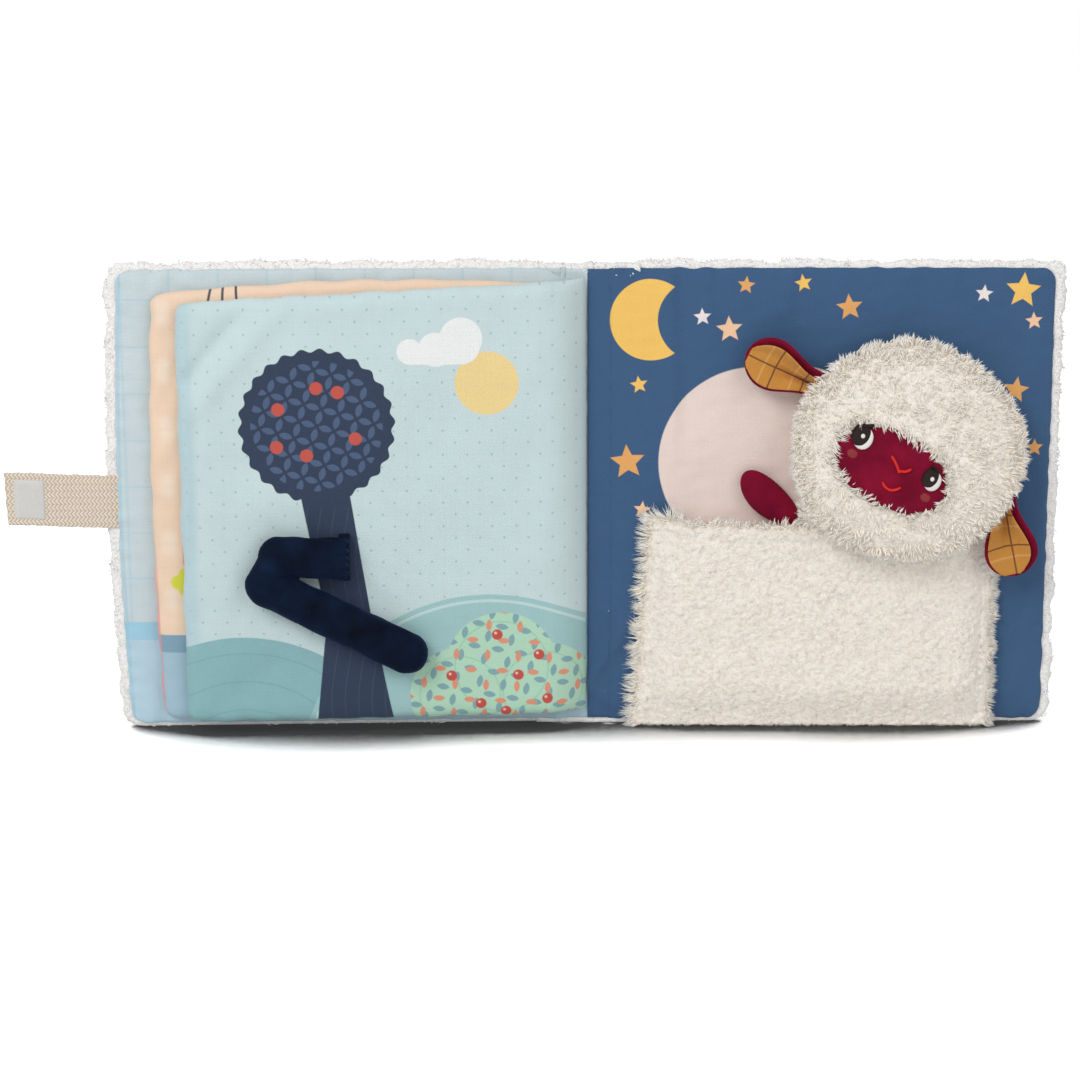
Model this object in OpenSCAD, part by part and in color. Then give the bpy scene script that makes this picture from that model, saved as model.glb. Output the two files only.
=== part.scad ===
// Cloth activity book, standing open at its last spread.
// X runs to the right, Y away from the reader and Z up.
// The origin is on the floor, in the middle of the spine.

/* [Covers] */
// Width of a cover's lining, from its hinge to the fore edge
panel_w = 211.5; // [185:0.5:240]
// Height of a cover's lining
panel_h = 221; // [190:1:250]
// Corner radius of a cover's lining
panel_corner = 7; // [3:0.5:14]
// Height of the lining's lower edge above the floor
panel_lift = 3; // [1.5:0.5:6]
// Thickness of the lining cloth
lining_t = 0.8; // [0.4:0.1:1.5]
// Thickness of the wadding inside a cover
wadding_t = 4.2; // [2:0.1:7]
// Thickness of the fleece with its pile
fleece_t = 6; // [4:0.5:9]
// How far the pile stands out past the lining at the fore edge
fleece_reach = 6; // [3:0.5:10]
// How far the pile stands out past the lining at the top
fleece_top = 3; // [1:0.5:6]
// Height of the waves in the edge of the pile
pile_wave = 0.7; // [0.2:0.1:1.5]
// Angle that the front cover leans towards the reader
front_lean = 2.5; // [0:0.5:8]

/* [Spine] */
// Width of the spine between the two hinges
spine_w = 20; // [16:0.5:30]
// Depth of the spine's fleece
spine_t = 6; // [4:0.5:8]
// Gap that parts the spine from each cover at the hinge
hinge_gap = 0.3; // [0.2:0.1:0.6]
// How far the lining's face lies in front of the hinge
hinge_depth = 1; // [0.6:0.1:2]

/* [Leaves] */
// Width of the last leaf from its sewn edge to its free edge
leaf_one_w = 192; // [160:1:205]
// Width of the leaf behind it
leaf_two_w = 196; // [165:1:208]
// Thickness of a padded leaf
leaf_t = 6.5; // [3:0.5:8]
// Height of a leaf at its sewn edge
leaf_h_sewn = 214; // [180:1:230]
// Height of a leaf at its free edge
leaf_h_free = 204; // [170:1:225]
// Height of a leaf's lower edge above the floor
leaf_lift = 6; // [4:0.5:12]
// Space between one leaf and the next
leaf_gap = 0.8; // [0.5:0.1:1.5]
// Length over which a leaf thins towards its sewn edge
leaf_ramp = 23; // [18:1:30]
// Width of the flat seam round a leaf
leaf_seam = 3.5; // [2:0.5:6]
// Corner radius of a leaf
leaf_corner = 6; // [3:0.5:12]

/* [Closure] */
// Width of the webbing strap
strap_w = 25.4; // [20:0.2:38]
// Length of the strap outside the cover
strap_l = 50; // [35:1:80]
// Thickness of the webbing
strap_t = 1.9; // [1.2:0.1:3]
// Width of the fastening patches along the strap
patch_l = 14; // [10:0.5:25]
// Height of the fastening patches
patch_w = 20.5; // [14:0.5:25]
// Thickness of a fastening patch
patch_t = 1.2; // [0.8:0.1:2]

/* [Velvet arm] */
// Height of the arm's shoulder above the floor
shoulder_z = 87.5; // [70:0.5:100]
// Distance of the arm's shoulder from the sewn edge of its leaf
shoulder_x = 116; // [100:1:130]
// Width of the arm
arm_w = 21; // [15:0.5:26]
// Thickness of the arm
arm_t = 14; // [8:0.5:18]
// Distance from the shoulder to the elbow
upper_arm_l = 36; // [28:1:45]
// Distance from the elbow to the tip of the hand
forearm_l = 71.5; // [50:0.5:80]
// Slope of the forearm below the level
forearm_fall = 24.8; // [15:0.2:35]

/* [Pocket] */
// Distance of the pocket's left edge from the middle of the spine, at the floor
pocket_left = 21; // [16:1:40]
// Width of the pocket at the floor
pocket_w = 175.5; // [140:0.5:190]
// Height of the pocket
pocket_h = 103; // [80:1:120]
// How far the pocket's left edge leans in by its top
pocket_lean = 8; // [0:0.5:14]
// Thickness of the pocket's fleece wall
pocket_wall = 6; // [4:0.5:8]
// Depth of the pocket's seam, in front of the lining
pocket_seam = 8; // [6.5:0.5:10]
// Depth of the pocket's face, in front of the lining
pocket_depth = 15.5; // [13:0.5:22]
// How much further the face bulges over the doll
pocket_bulge = 3; // [1:0.5:6]

/* [Doll] */
// Width of the head with its pile
head_w = 114; // [90:1:125]
// Height of the head with its pile
head_h = 109; // [85:1:120]
// Distance of the head's middle from the middle of the spine
head_x = 151; // [135:0.5:160]
// Height of the head's middle above the floor
head_z = 140; // [130:0.5:160]
// Depth of the stuffing in front of the head's seam
head_dome = 17; // [10:0.5:22]
// Thickness of the head's rim
head_rim = 8; // [5:0.5:12]
// Width of the velvet face
face_w = 58; // [40:1:70]
// Height of the velvet face
face_h = 37; // [25:1:48]
// Fall of the face's long axis to the right
face_tilt = 28; // [0:1:40]
// Length of an ear
ear_l = 34; // [25:1:45]
// Width of an ear at its wide end
ear_w = 25; // [16:0.5:32]
// Width of the doll's body in the pocket
body_w = 84; // [60:1:95]
// Height of the doll's body
body_h = 106; // [85:1:112]
// Length of the doll's hand
hand_l = 38; // [28:1:48]
// Width of the doll's hand
hand_w = 21; // [14:0.5:26]

/* [Print] */
// Thickness of the printed fields of colour
print_t = 0.3; // [0.2:0.05:0.5]
// Outer radius of the moon
moon_r = 19.4; // [12:0.1:26]
// Size of a star from its centre to a tip, for the small ones
small_star = 4.3; // [3:0.1:7]
// Size of the large stars
large_star = 8.6; // [6:0.1:12]
// Spacing of the lines on the front cover's lining
check_pitch = 23; // [12:0.5:40]

/* [Hidden] */
$fn = 48;

// Levels in front of and behind the hinges, which lie at hinge_y
hinge_x = spine_w / 2;
hinge_y = -3;
face_y = hinge_y - hinge_depth;
lining_back = face_y + lining_t;
wadding_back = lining_back + wadding_t;
fleece_back = wadding_back + fleece_t;
spine_back = hinge_y + spine_t;
lining_h = panel_lift + panel_h;
fleece_h = lining_h + fleece_top;
panel_edge = hinge_x + panel_w;
fleece_edge = panel_edge + fleece_reach;
front_slope = 4;
back_slope = 16;
clear = 0.3;
deep = 400;
tall = 600;

// Levels of the leaves, measured square to the front cover
leaf_two_back = face_y - 1;
leaf_two_front = leaf_two_back - leaf_t;
leaf_one_back = leaf_two_front - leaf_gap;
leaf_one_front = leaf_one_back - leaf_t;
leaf_one_x = -1;
leaf_two_x = 1 - hinge_x;
bound_t = 1.5;
page_t = 0.5;

// Repeated shapes

// A solid between two levels, with its outline drawn in X and Z
module slab(y0, y1) {
  translate([0, y1, 0])
    rotate([90, 0, 0])
      linear_extrude(height = y1 - y0)
        children();
}

// The front cover's pieces, leaned about its hinge
module lean_front() {
  translate([-hinge_x, hinge_y, 0])
    rotate([0, 0, front_lean])
      translate([hinge_x, -hinge_y, 0])
        children();
}

function arc(cx, cz, r, a0, a1, n) =
  [for (i = [0:n]) [cx + r * cos(a0 + (a1 - a0) * i / n), cz + r * sin(a0 + (a1 - a0) * i / n)]];

function smooth(t) = let (c = max(0, min(1, t))) c * c * (3 - 2 * c);

function mix(a, b, t) = a + (b - a) * t;

// The wave of the pile at a distance s along an edge
function ripple(s) = pile_wave * (0.6 * sin(s * 31) + 0.4 * sin(s * 53 + 70) - 1);

// A cover's outline in fleece, from the hinge at x0 to the fore edge, with a wavy top and side
function fleece_outline(x0, inset) =
  let (
    x1 = fleece_edge - inset,
    z1 = fleece_h - inset,
    r = panel_corner + fleece_reach - inset,
    side_n = 40,
    top_n = 44
  )
  concat(
    [[x0, 0]],
    arc(x1 - r, r, r, -90, -6, 8),
    [for (i = [1:side_n]) let (z = mix(r, z1 - r, i / side_n)) [x1 + ripple(z), z]],
    arc(x1 - r, z1 - r, r - pile_wave, 6, 84, 8),
    [for (i = [1:top_n]) let (x = mix(x1 - r, x0, i / top_n)) [x, z1 + ripple(x + 40)]]
  );

// A plain rounded panel outline from x0 to x1 and z0 to z1, square at the hinge side
function panel_outline(x0, x1, z0, z1, r) =
  concat([[x0, z0]], arc(x1 - r, z0 + r, r, -90, 0, 8), arc(x1 - r, z1 - r, r, 0, 90, 8), [[x0, z1]]);

// Section of a cover through the hinge, seen from above, at full depth
function cover_section(x_end) = [
  [hinge_x + hinge_gap, hinge_y],
  [hinge_x + front_slope, face_y],
  [x_end, face_y],
  [x_end, fleece_back],
  [hinge_x + back_slope, fleece_back],
  [hinge_x + 2 * hinge_gap, hinge_y + 0.4]
];

module trim_at_hinge() {
  intersection() {
    children();
    translate([0, 0, -deep / 2])
      linear_extrude(height = tall)
        polygon(cover_section(fleece_edge + deep));
  }
}

// A soft closed solid between two surfaces, each a function of u and v from 0 to 1
module cushion(nu, nv, front, back) {
  across = nu + 1;
  count = across * (nv + 1);
  function at(i, j) = j * across + i;
  points = concat(
    [for (j = [0:nv]) for (i = [0:nu]) front(i / nu, j / nv)],
    [for (j = [0:nv]) for (i = [0:nu]) back(i / nu, j / nv)]
  );
  front_faces = [
    for (j = [0:nv - 1]) for (i = [0:nu - 1])
      each [[at(i, j), at(i, j + 1), at(i + 1, j + 1)], [at(i, j), at(i + 1, j + 1), at(i + 1, j)]]
  ];
  back_faces = [for (f = front_faces) [f[0] + count, f[2] + count, f[1] + count]];
  rim = concat(
    [for (i = [0:nu - 1]) at(i, 0)],
    [for (j = [0:nv - 1]) at(nu, j)],
    [for (i = [0:nu - 1]) at(nu - i, nv)],
    [for (j = [0:nv - 1]) at(0, nv - j)]
  );
  sides = [
    for (k = [0:len(rim) - 1])
      let (a = rim[k], b = rim[(k + 1) % len(rim)])
        each [[a, b, b + count], [a, b + count, a + count]]
  ];
  polyhedron(points = points, faces = concat(front_faces, back_faces, sides), convexity = 4);
}

// A place in the unit disc for a place in the unit square
function disc(u, v) =
  let (a = 2 * u - 1, b = 2 * v - 1)
  [a * sqrt(1 - b * b / 2), b * sqrt(1 - a * a / 2)];

function reach(p) = sqrt(p[0] * p[0] + p[1] * p[1]);

// Covers

module cover_fleece() {
  trim_at_hinge()
    difference() {
      union() {
        slab(lining_back, lining_back + 2)
          polygon(fleece_outline(hinge_x, 2));
        slab(lining_back + 2, fleece_back - 2.5)
          polygon(fleece_outline(hinge_x, 0));
        slab(fleece_back - 2.5, fleece_back)
          polygon(fleece_outline(hinge_x, 2.5));
      }
      cover_wadding();
    }
}

module cover_wadding() {
  inset = 6;
  slab(lining_back, wadding_back)
    polygon(panel_outline(
      hinge_x + back_slope - 2, panel_edge - inset, panel_lift + inset, lining_h - inset, panel_corner
    ));
}

module cover_lining() {
  trim_at_hinge()
    slab(face_y, lining_back)
      polygon(panel_outline(hinge_x, panel_edge, panel_lift, lining_h, panel_corner));
}

module front_cover_fleece() {
  color("#f1efec")
    lean_front()
      difference() {
        mirror([1, 0, 0])
          cover_fleece();
        translate([-fleece_edge - 1, strap_y - strap_t - clear / 2, strap_z - strap_w / 2 - clear / 2])
          cube([strap_sewn_in + 1, strap_t + clear, strap_w + clear]);
      }
}

module front_cover_wadding() {
  color("white")
    lean_front()
      mirror([1, 0, 0])
        cover_wadding();
}

module front_cover_lining() {
  color("#b8dce6")
    lean_front()
      mirror([1, 0, 0])
        cover_lining();
}

module front_print(y_front) {
  lean_front()
    mirror([1, 0, 0])
      intersection() {
        slab(y_front, face_y)
          polygon(panel_outline(
            hinge_x + front_slope, panel_edge, panel_lift, lining_h, panel_corner
          ));
        slab(y_front - 1, face_y + 1)
          children();
      }
}

band_z = 45;
band_h = 9;

module front_lining_check() {
  line_w = 1.6;
  first_x = panel_edge - 7;
  columns = floor((first_x - hinge_x - front_slope) / check_pitch);
  rows = floor((lining_h - band_z - band_h - line_w) / check_pitch);
  color("#8fc3d8")
    front_print(face_y - print_t)
      difference() {
        union() {
          for (i = [0:columns])
            translate([first_x - i * check_pitch, 0])
              square([line_w, lining_h]);
          for (i = [1:rows])
            translate([0, band_z + band_h + i * check_pitch])
              square([panel_edge, line_w]);
        }
        square([panel_edge, band_z + band_h]);
      }
}

module front_lining_band() {
  color("#8cc5dc")
    front_print(face_y - print_t)
      translate([0, band_z])
        square([panel_edge, band_h]);
}

strap_z = panel_lift + panel_h / 2 - 1;
strap_sewn_in = 9;
strap_y = lining_back + strap_t + 0.6;
rib_n = 8;

// The webbing's ribs run along its length, and its end is sewn in between lining and fleece
module closure_strap() {
  pitch = strap_w / rib_n;
  rib = 0.25;
  section = concat(
    [for (i = [0:rib_n - 1]) each [[i * pitch, 0], [(i + 0.5) * pitch, rib]]],
    [[strap_w, 0], [strap_w, strap_t]],
    [for (i = [0:rib_n - 1]) each [[strap_w - (i + 0.5) * pitch, strap_t - rib], [strap_w - (i + 1) * pitch, strap_t]]]
  );
  color("#d8c5ae")
    lean_front()
      translate([-fleece_edge - strap_l, strap_y - strap_t, strap_z - strap_w / 2])
        rotate([90, 0, 90])
          linear_extrude(height = strap_l + strap_sewn_in)
            polygon([for (p = section) [p[1], p[0]]]);
}

module strap_fastening_patch() {
  edge = 3;
  color("#dcd9d3")
    lean_front()
      slab(strap_y - strap_t - patch_t, strap_y - strap_t)
        translate([-fleece_edge - strap_l + edge, strap_z - patch_w / 2])
          square([patch_l, patch_w]);
}

module back_cover_fleece() {
  color("#f1efec")
    cover_fleece();
}

module back_cover_wadding() {
  color("white")
    cover_wadding();
}

module night_lining() {
  color("#3c5f86")
    cover_lining();
}

module cover_fastening_patch() {
  color("#dcd9d3")
    slab(fleece_back, fleece_back + patch_t)
      translate([panel_edge - strap_l / 2 - patch_l, strap_z - patch_w / 2])
        square([patch_l, patch_w]);
}

// Prints on the night lining, which end where the lining bends back to the hinge

module night_print() {
  slab(face_y - print_t, face_y)
    intersection() {
      union()
        children();
      translate([hinge_x + front_slope, 0])
        square([panel_w, tall]);
    }
}

module star(x, z, r, turn) {
  waist = 0.46;
  translate([x, z])
    polygon([
      for (i = [0:9])
        let (a = 90 + turn + 36 * i, s = i % 2 == 0 ? r : r * waist)
          [s * cos(a), s * sin(a)]
    ]);
}

moon_x = 30;
moon_z = lining_h - 24.5;

module moon_print() {
  color("#f2c464")
    night_print()
      difference() {
        translate([moon_x, moon_z])
          circle(r = moon_r);
        translate([moon_x + moon_r * 1.17, moon_z])
          circle(r = moon_r);
      }
}

module yellow_stars() {
  color("#f2c464")
    night_print() {
      star(102, lining_h - 7, small_star, 10);
      star(panel_edge - 15.5, lining_h - 10.5, large_star, -4);
      star(24.5, lining_h - 55.5, small_star, 8);
    }
}

module orange_stars() {
  middle_star = (small_star + large_star) / 2;
  color("#e2a562")
    night_print() {
      star(75, lining_h - 8, small_star, -6);
      star(124, lining_h - 18.5, middle_star, 6);
      star(19.2, pocket_h + 28, large_star, 5);
      star(panel_edge - 17.5, lining_h - 58, middle_star, -8);
      star(panel_edge - 7.5, pocket_h + 35, small_star, 0);
    }
}

module peach_stars() {
  color("#f3c7a0")
    night_print() {
      star(67.3, lining_h - 29, (small_star + large_star) / 2, 4);
      star(panel_edge - 9.9, lining_h - 25, small_star, 5);
      star(26.3, pocket_h + 4.5, small_star, -5);
    }
}

module white_stars() {
  color("#f3e4e2")
    night_print() {
      star(54.4, lining_h - 23, small_star, 4);
      star(panel_edge - 34, lining_h - 12, small_star, -5);
    }
}

pillow_left = 34;
pillow_w = 96;
pillow_top = head_z + 37;

module pillow_print() {
  r = 46;
  color("#e0cdc6")
    night_print()
      polygon(concat(
        [[pillow_left, pocket_h * 0.8]],
        arc(pillow_left + r, pillow_top - r, r, 180, 90, 16),
        arc(pillow_left + pillow_w - r * 0.6, pillow_top - r * 0.6, r * 0.6, 90, 0, 12),
        [[pillow_left + pillow_w, pocket_h * 0.8]]
      ));
}

// Pocket

pocket_right = pocket_left + pocket_w;

// A place on the pocket's face, depth in front of the lining
function pocket_x(u, v) = mix(pocket_left + pocket_lean * v, pocket_right, u);

function pocket_z(u, v) = v * (pocket_h + 2.5 * smooth(1 - u * 4) - 2 * u);

function pocket_face(u, v) =
  let (
    x = pocket_x(u, v),
    z = pocket_z(u, v),
    side = smooth(min(x - pocket_x(0, v), pocket_right - x) / 20 + 0.05),
    foot = smooth(z / 26 + 0.05),
    over_doll = smooth(1 - abs(x - head_x + 8) / (body_w * 0.9))
  )
  mix(pocket_seam, pocket_depth, side * foot) + pocket_bulge * over_doll * foot
    + 0.35 * sin(x * 23) * sin(z * 29);

function pile_side(z) = 0.7 * sin(z * 27) + 0.5 * sin(z * 61);

module fleece_pocket() {
  nu = 40;
  nv = 20;
  front = function (u, v) [
    pocket_x(u, v) + (u == 0 ? -1 : u == 1 ? 1 : 0) * pile_side(pocket_z(u, v)),
    face_y - pocket_face(u, v),
    pocket_z(u, v) + (v == 1 ? 0.8 * sin(pocket_x(u, v) * 31) : 0)
  ];
  back = function (u, v) [
    pocket_x(u, v),
    face_y - max(0, pocket_face(u, v) - pocket_wall) * (v == 0 || u == 0 || u == 1 ? 0 : 1),
    pocket_z(u, v)
  ];
  color("#ece6dc")
    cushion(nu, nv, front, back);
}

// Doll

body_x = head_x - 8;
body_bottom = 12;

module doll_body() {
  n = 14;
  cz = body_bottom + body_h / 2;
  depth = pocket_depth - pocket_wall - 2;
  squareness = 0.6;
  place = function (u, v)
    let (p = mix(disc(u, v), [2 * u - 1, 2 * v - 1], squareness))
      [body_x + p[0] * body_w / 2, cz + p[1] * body_h / 2, min(1, reach(disc(u, v)))];
  thick = function (p)
    (0.45 + 0.55 * sqrt(max(0, 1 - p[2] * p[2]))) * mix(depth, 4, smooth((p[1] - pocket_h * 0.86) / 12));
  color("#ece6dc")
    cushion(
      n, n,
      function (u, v) let (p = place(u, v)) [p[0], face_y - clear - thick(p), p[1]],
      function (u, v) let (p = place(u, v)) [p[0], face_y - clear, p[1]]
    );
}

// Depth of the head's back and front, in front of the lining
head_back_top = 5;
head_back_low = pocket_depth + pocket_bulge + 2 * clear;

function head_back(z) = mix(head_back_top, head_back_low, smooth((pocket_h + 14 - z) / 11));

function head_front(x, z) =
  let (
    dx = (x - head_x) / (head_w / 2),
    dz = (z - head_z) / (head_h / 2),
    r2 = min(1, dx * dx + dz * dz)
  )
  head_rim + mix(head_back_low, head_back_top, smooth((dz + 1) / 2)) + head_dome * sqrt(1 - r2 * 0.94);

function head_pile(a) = 1 + 0.010 * sin(a * 9) + 0.008 * sin(a * 17 + 40) + 0.005 * sin(a * 29);

module doll_head() {
  n = 28;
  place = function (u, v)
    let (
      p = disc(u, v),
      k = reach(p) > 0.98 ? head_pile(atan2(p[1], p[0])) : 1
    )
    [head_x + p[0] * k * head_w / 2, head_z + p[1] * k * head_h / 2];
  color("#ece6dc")
    cushion(
      n, n,
      function (u, v) let (p = place(u, v)) [p[0], face_y - head_front(p[0], p[1]), p[1]],
      function (u, v) let (p = place(u, v)) [p[0], face_y - head_back(p[1]), p[1]]
    );
}

// The face and what is sewn on it are measured from the face's middle, along its tilt
face_x = head_x - 8.5;
face_z = head_z - 8;

function on_face(a, b) = [
  face_x + a * cos(face_tilt) + b * sin(face_tilt),
  face_z - a * sin(face_tilt) + b * cos(face_tilt)
];

// A patch with half sizes ra and rb, centred at a, b on the face, from lift to lift + t
module face_patch(a, b, ra, rb, lift, t, n, ragged = 0) {
  place = function (u, v)
    let (
      p = disc(u, v),
      k = reach(p) > 0.98 ? 1 + ragged * sin(atan2(p[1], p[0]) * 11) : 1
    )
    on_face(a + p[0] * k * ra, b + p[1] * k * rb);
  cushion(
    n, n,
    function (u, v)
      let (p = place(u, v), q = reach(disc(u, v)))
        [p[0], face_y - head_front(p[0], p[1]) - lift - t * (0.5 + 0.5 * sqrt(max(0, 1 - q * q))), p[1]],
    function (u, v) let (p = place(u, v)) [p[0], face_y - head_front(p[0], p[1]) - lift, p[1]]
  );
}

face_t = 1.4;
eye_a = 19;
eye_b = 6.5;
eye_r = 4.6;
eye_t = 0.9;
on_velvet = clear + face_t + clear;

module doll_face() {
  color("#7a0f35")
    face_patch(0, 0, face_w / 2, face_h / 2, clear, face_t, 16, 0.05);
}

module doll_eyes() {
  color("#26140f")
    for (side = [-1, 1])
      face_patch(side * eye_a, eye_b, eye_r, eye_r * 1.15, on_velvet, eye_t, 8);
}

module eye_glints() {
  color("white")
    for (side = [-1, 1])
      face_patch(side * eye_a + eye_r * 0.3, eye_b + eye_r * 0.35, eye_r * 0.27, eye_r * 0.27, on_velvet + eye_t + clear / 2, 0.4, 4);
}

module doll_cheeks() {
  color("#c2605e")
    for (side = [-1, 1])
      face_patch(side * (eye_a + 0.5), eye_b - 9.5, 3, 2.6, on_velvet, 0.3, 4);
}

// A run of thread along points measured on the face
module thread(path, w) {
  n = len(path) - 1;
  place = function (u, v)
    let (
      i = min(n - 1, floor(u * n)),
      f = u * n - i,
      p = mix(path[i], path[i + 1], f),
      d = path[i + 1] - path[i],
      s = w * (v - 0.5) / reach(d)
    )
    on_face(p[0] - d[1] * s, p[1] + d[0] * s);
  cushion(
    n, 1,
    function (u, v) let (p = place(u, v)) [p[0], face_y - head_front(p[0], p[1]) - on_velvet - 0.7, p[1]],
    function (u, v) let (p = place(u, v)) [p[0], face_y - head_front(p[0], p[1]) - on_velvet, p[1]]
  );
}

thread_w = 0.9;

module nose_stitches() {
  color("#e0362c") {
    thread([[-3.4, 5.2], [-1.4, 2.8], [0, 0.6], [0, -1.6]], thread_w);
    thread([[0.8, 0.6], [2, 2.6], [3.6, 4.6]], thread_w);
  }
}

module smile_stitches() {
  color("#e0362c")
    thread([for (i = [0:6]) [mix(-5, 5, i / 6), -8 - 2.6 * sin(180 * i / 6)]], thread_w);
}

// An ear from its root on the head's rim. Its set is the root's angle on the rim,
// the angle that it points to, and its seat past the rim.
module ear(set, root_depth, lift, t, inset) {
  root = [
    head_x + (head_w / 2 + set[2]) * cos(set[0]),
    head_z + (head_h / 2 + set[2]) * sin(set[0])
  ];
  root_w = ear_w * 0.42;
  half = function (u)
    (u < 0.62 ? mix(root_w, ear_w, smooth(u / 0.62)) : ear_w * sqrt(max(0.02, 1 - pow((u - 0.62) / 0.38, 2)))) / 2 - inset;
  place = function (u, v)
    let (
      s = mix(inset, ear_l - inset, u),
      w = (2 * v - 1) * half(u)
    )
    [
      root[0] + s * cos(set[1]) - w * sin(set[1]),
      root[1] + s * sin(set[1]) + w * cos(set[1])
    ];
  cup = function (u, v) root_depth + 3.2 * sin(180 * u) * pow(2 * v - 1, 2);
  cushion(
    14, 8,
    function (u, v) let (p = place(u, v)) [p[0], face_y - cup(u, v) - lift - t, p[1]],
    function (u, v) let (p = place(u, v)) [p[0], face_y - cup(u, v) - lift, p[1]]
  );
}

left_ear_set = [151, 152, 0.5];
right_ear_set = [-31, -76, 4];
left_ear_depth = 5;
right_ear_depth = pocket_depth;
ear_t = 2.2;
ear_cloth_t = 0.8;
ear_border = 1.2;

module left_ear_back() {
  color("#8e1745")
    ear(left_ear_set, left_ear_depth, 0, ear_t, 0);
}

module left_ear_lining() {
  color("#d19440")
    ear(left_ear_set, left_ear_depth, ear_t + 0.1, ear_cloth_t, ear_border);
}

module right_ear_back() {
  color("#8e1745")
    ear(right_ear_set, right_ear_depth, 0, ear_t, 0);
}

module right_ear_lining() {
  color("#d19440")
    ear(right_ear_set, right_ear_depth, ear_t + 0.1, ear_cloth_t, ear_border);
}

hand_x = head_x - 67.5;
hand_z = head_z - 22;
hand_turn = -42;

// The hand lies between the head and the night lining
module doll_hand() {
  n = 12;
  t = 8;
  place = function (u, v)
    let (
      p = disc(u, v),
      q = [p[0] * hand_l / 2, p[1] * hand_w / 2]
    )
    [
      hand_x + q[0] * cos(hand_turn) - q[1] * sin(hand_turn),
      hand_z + q[0] * sin(hand_turn) + q[1] * cos(hand_turn),
      reach(p)
    ];
  color("#7a0f35")
    cushion(
      n, n,
      function (u, v)
        let (p = place(u, v))
          [p[0], face_y - 2 * clear - t * (0.3 + 0.7 * sqrt(max(0, 1 - p[2] * p[2]))), p[1]],
      function (u, v) let (p = place(u, v)) [p[0], face_y - 2 * clear, p[1]]
    );
}

// Spine

module spine_fleece() {
  color("#f1efec")
    linear_extrude(height = fleece_h - pile_wave)
      polygon([
        [hinge_gap - hinge_x, hinge_y + 0.3],
        [hinge_x - hinge_gap, hinge_y + 0.3],
        [hinge_x - spine_w * 0.32, spine_back],
        [spine_w * 0.32 - hinge_x, spine_back]
      ]);
}

module spine_lining() {
  color("#3c5f86")
    translate([0, 0, panel_lift])
      linear_extrude(height = panel_h)
        polygon([
          [hinge_gap - hinge_x, hinge_y],
          [front_slope - hinge_x, face_y],
          [hinge_x - front_slope, face_y],
          [hinge_x - hinge_gap, hinge_y],
          [hinge_x - hinge_gap, hinge_y + 0.3],
          [hinge_gap - hinge_x, hinge_y + 0.3]
        ]);
}

// Leaves, drawn square to the front cover and leaned with it

// A leaf's outline from its sewn edge at x0, lower at its free edge
function leaf_outline(x0, w, inset) =
  let (
    x1 = x0 - w + inset,
    z0 = leaf_lift + inset,
    zs = leaf_lift + leaf_h_sewn - inset,
    zf = leaf_lift + leaf_h_free - inset,
    r = leaf_corner
  )
  concat(
    [[x0, z0]],
    [[x0, zs]],
    arc(x1 + r, zf - r, r, 90, 180, 8),
    arc(x1 + r, z0 + r, r, 180, 270, 8)
  );

// A leaf's section seen from above, thin at its sewn edge
function leaf_section(x0, w, back, front, sewn_back) = [
  [x0, sewn_back],
  [x0 - leaf_ramp, back],
  [x0 - w, back],
  [x0 - w, front],
  [x0 - leaf_ramp, front],
  [x0, sewn_back - bound_t]
];

module through(section) {
  linear_extrude(height = tall)
    polygon(section);
}

leaf_one_sewn = face_y - 0.6;
leaf_two_sewn = leaf_two_back;

// A padded leaf with a thin seam round it
module leaf(x0, w, back, front, sewn_back) {
  middle = (back + front) / 2;
  seam_half = 1;
  intersection() {
    through(leaf_section(x0, w, back, front, sewn_back));
    slab(-deep / 2, deep / 2)
      polygon(leaf_outline(x0, w, leaf_seam));
  }
  intersection() {
    through(leaf_section(x0, w, middle + seam_half, middle - seam_half, sewn_back));
    slab(-deep / 2, deep / 2)
      polygon(leaf_outline(x0, w, 0));
  }
}

module page_leaves() {
  color("#d9e6e6")
    lean_front() {
      leaf(leaf_one_x, leaf_one_w, leaf_one_back, leaf_one_front, leaf_one_sewn);
      leaf(leaf_two_x, leaf_two_w, leaf_two_back, leaf_two_front, leaf_two_sewn);
      translate([0, 0, leaf_lift + leaf_seam])
        linear_extrude(height = leaf_h_sewn - 2 * leaf_seam)
          polygon([
            [leaf_two_x - 0.5, leaf_two_sewn - 0.2],
            [leaf_two_x - 0.5, leaf_two_sewn - 1],
            [leaf_one_x, leaf_one_sewn - 1],
            [leaf_one_x, leaf_one_sewn - 0.2]
          ]);
    }
}

// A skin of thickness t that follows a leaf's front, from lift
module front_skin(x0, w, front, sewn_back, lift, t) {
  sewn = sewn_back - bound_t;
  lean_front()
    intersection() {
      through([
        [x0, sewn - lift],
        [x0 - leaf_ramp, front - lift],
        [x0 - w + leaf_seam, front - lift],
        [x0 - w + leaf_seam, front - lift - t],
        [x0 - leaf_ramp, front - lift - t],
        [x0, sewn - lift - t]
      ]);
      slab(-deep / 2, deep / 2)
        intersection() {
          polygon(leaf_outline(x0, w, leaf_seam));
          children();
        }
    }
}

module whole_page() {
  translate([-deep, 0])
    square([2 * deep, tall]);
}

module aqua_page() {
  color("#cfe0df")
    front_skin(leaf_one_x, leaf_one_w, leaf_one_front, leaf_one_sewn, 0, page_t)
      whole_page();
}

module peach_page() {
  color("#f3d3b5")
    front_skin(leaf_two_x, leaf_two_w, leaf_two_front, leaf_two_sewn, 0, print_t)
      whole_page();
}

module peach_page_band() {
  color("#7aa5b8")
    front_skin(leaf_two_x - leaf_two_w + 60, 60, leaf_two_front, leaf_two_front + bound_t, print_t, print_t / 2)
      square_band(leaf_lift, 34);
}

module square_band(z, h) {
  translate([-deep, z])
    square([2 * deep, h]);
}

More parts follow.
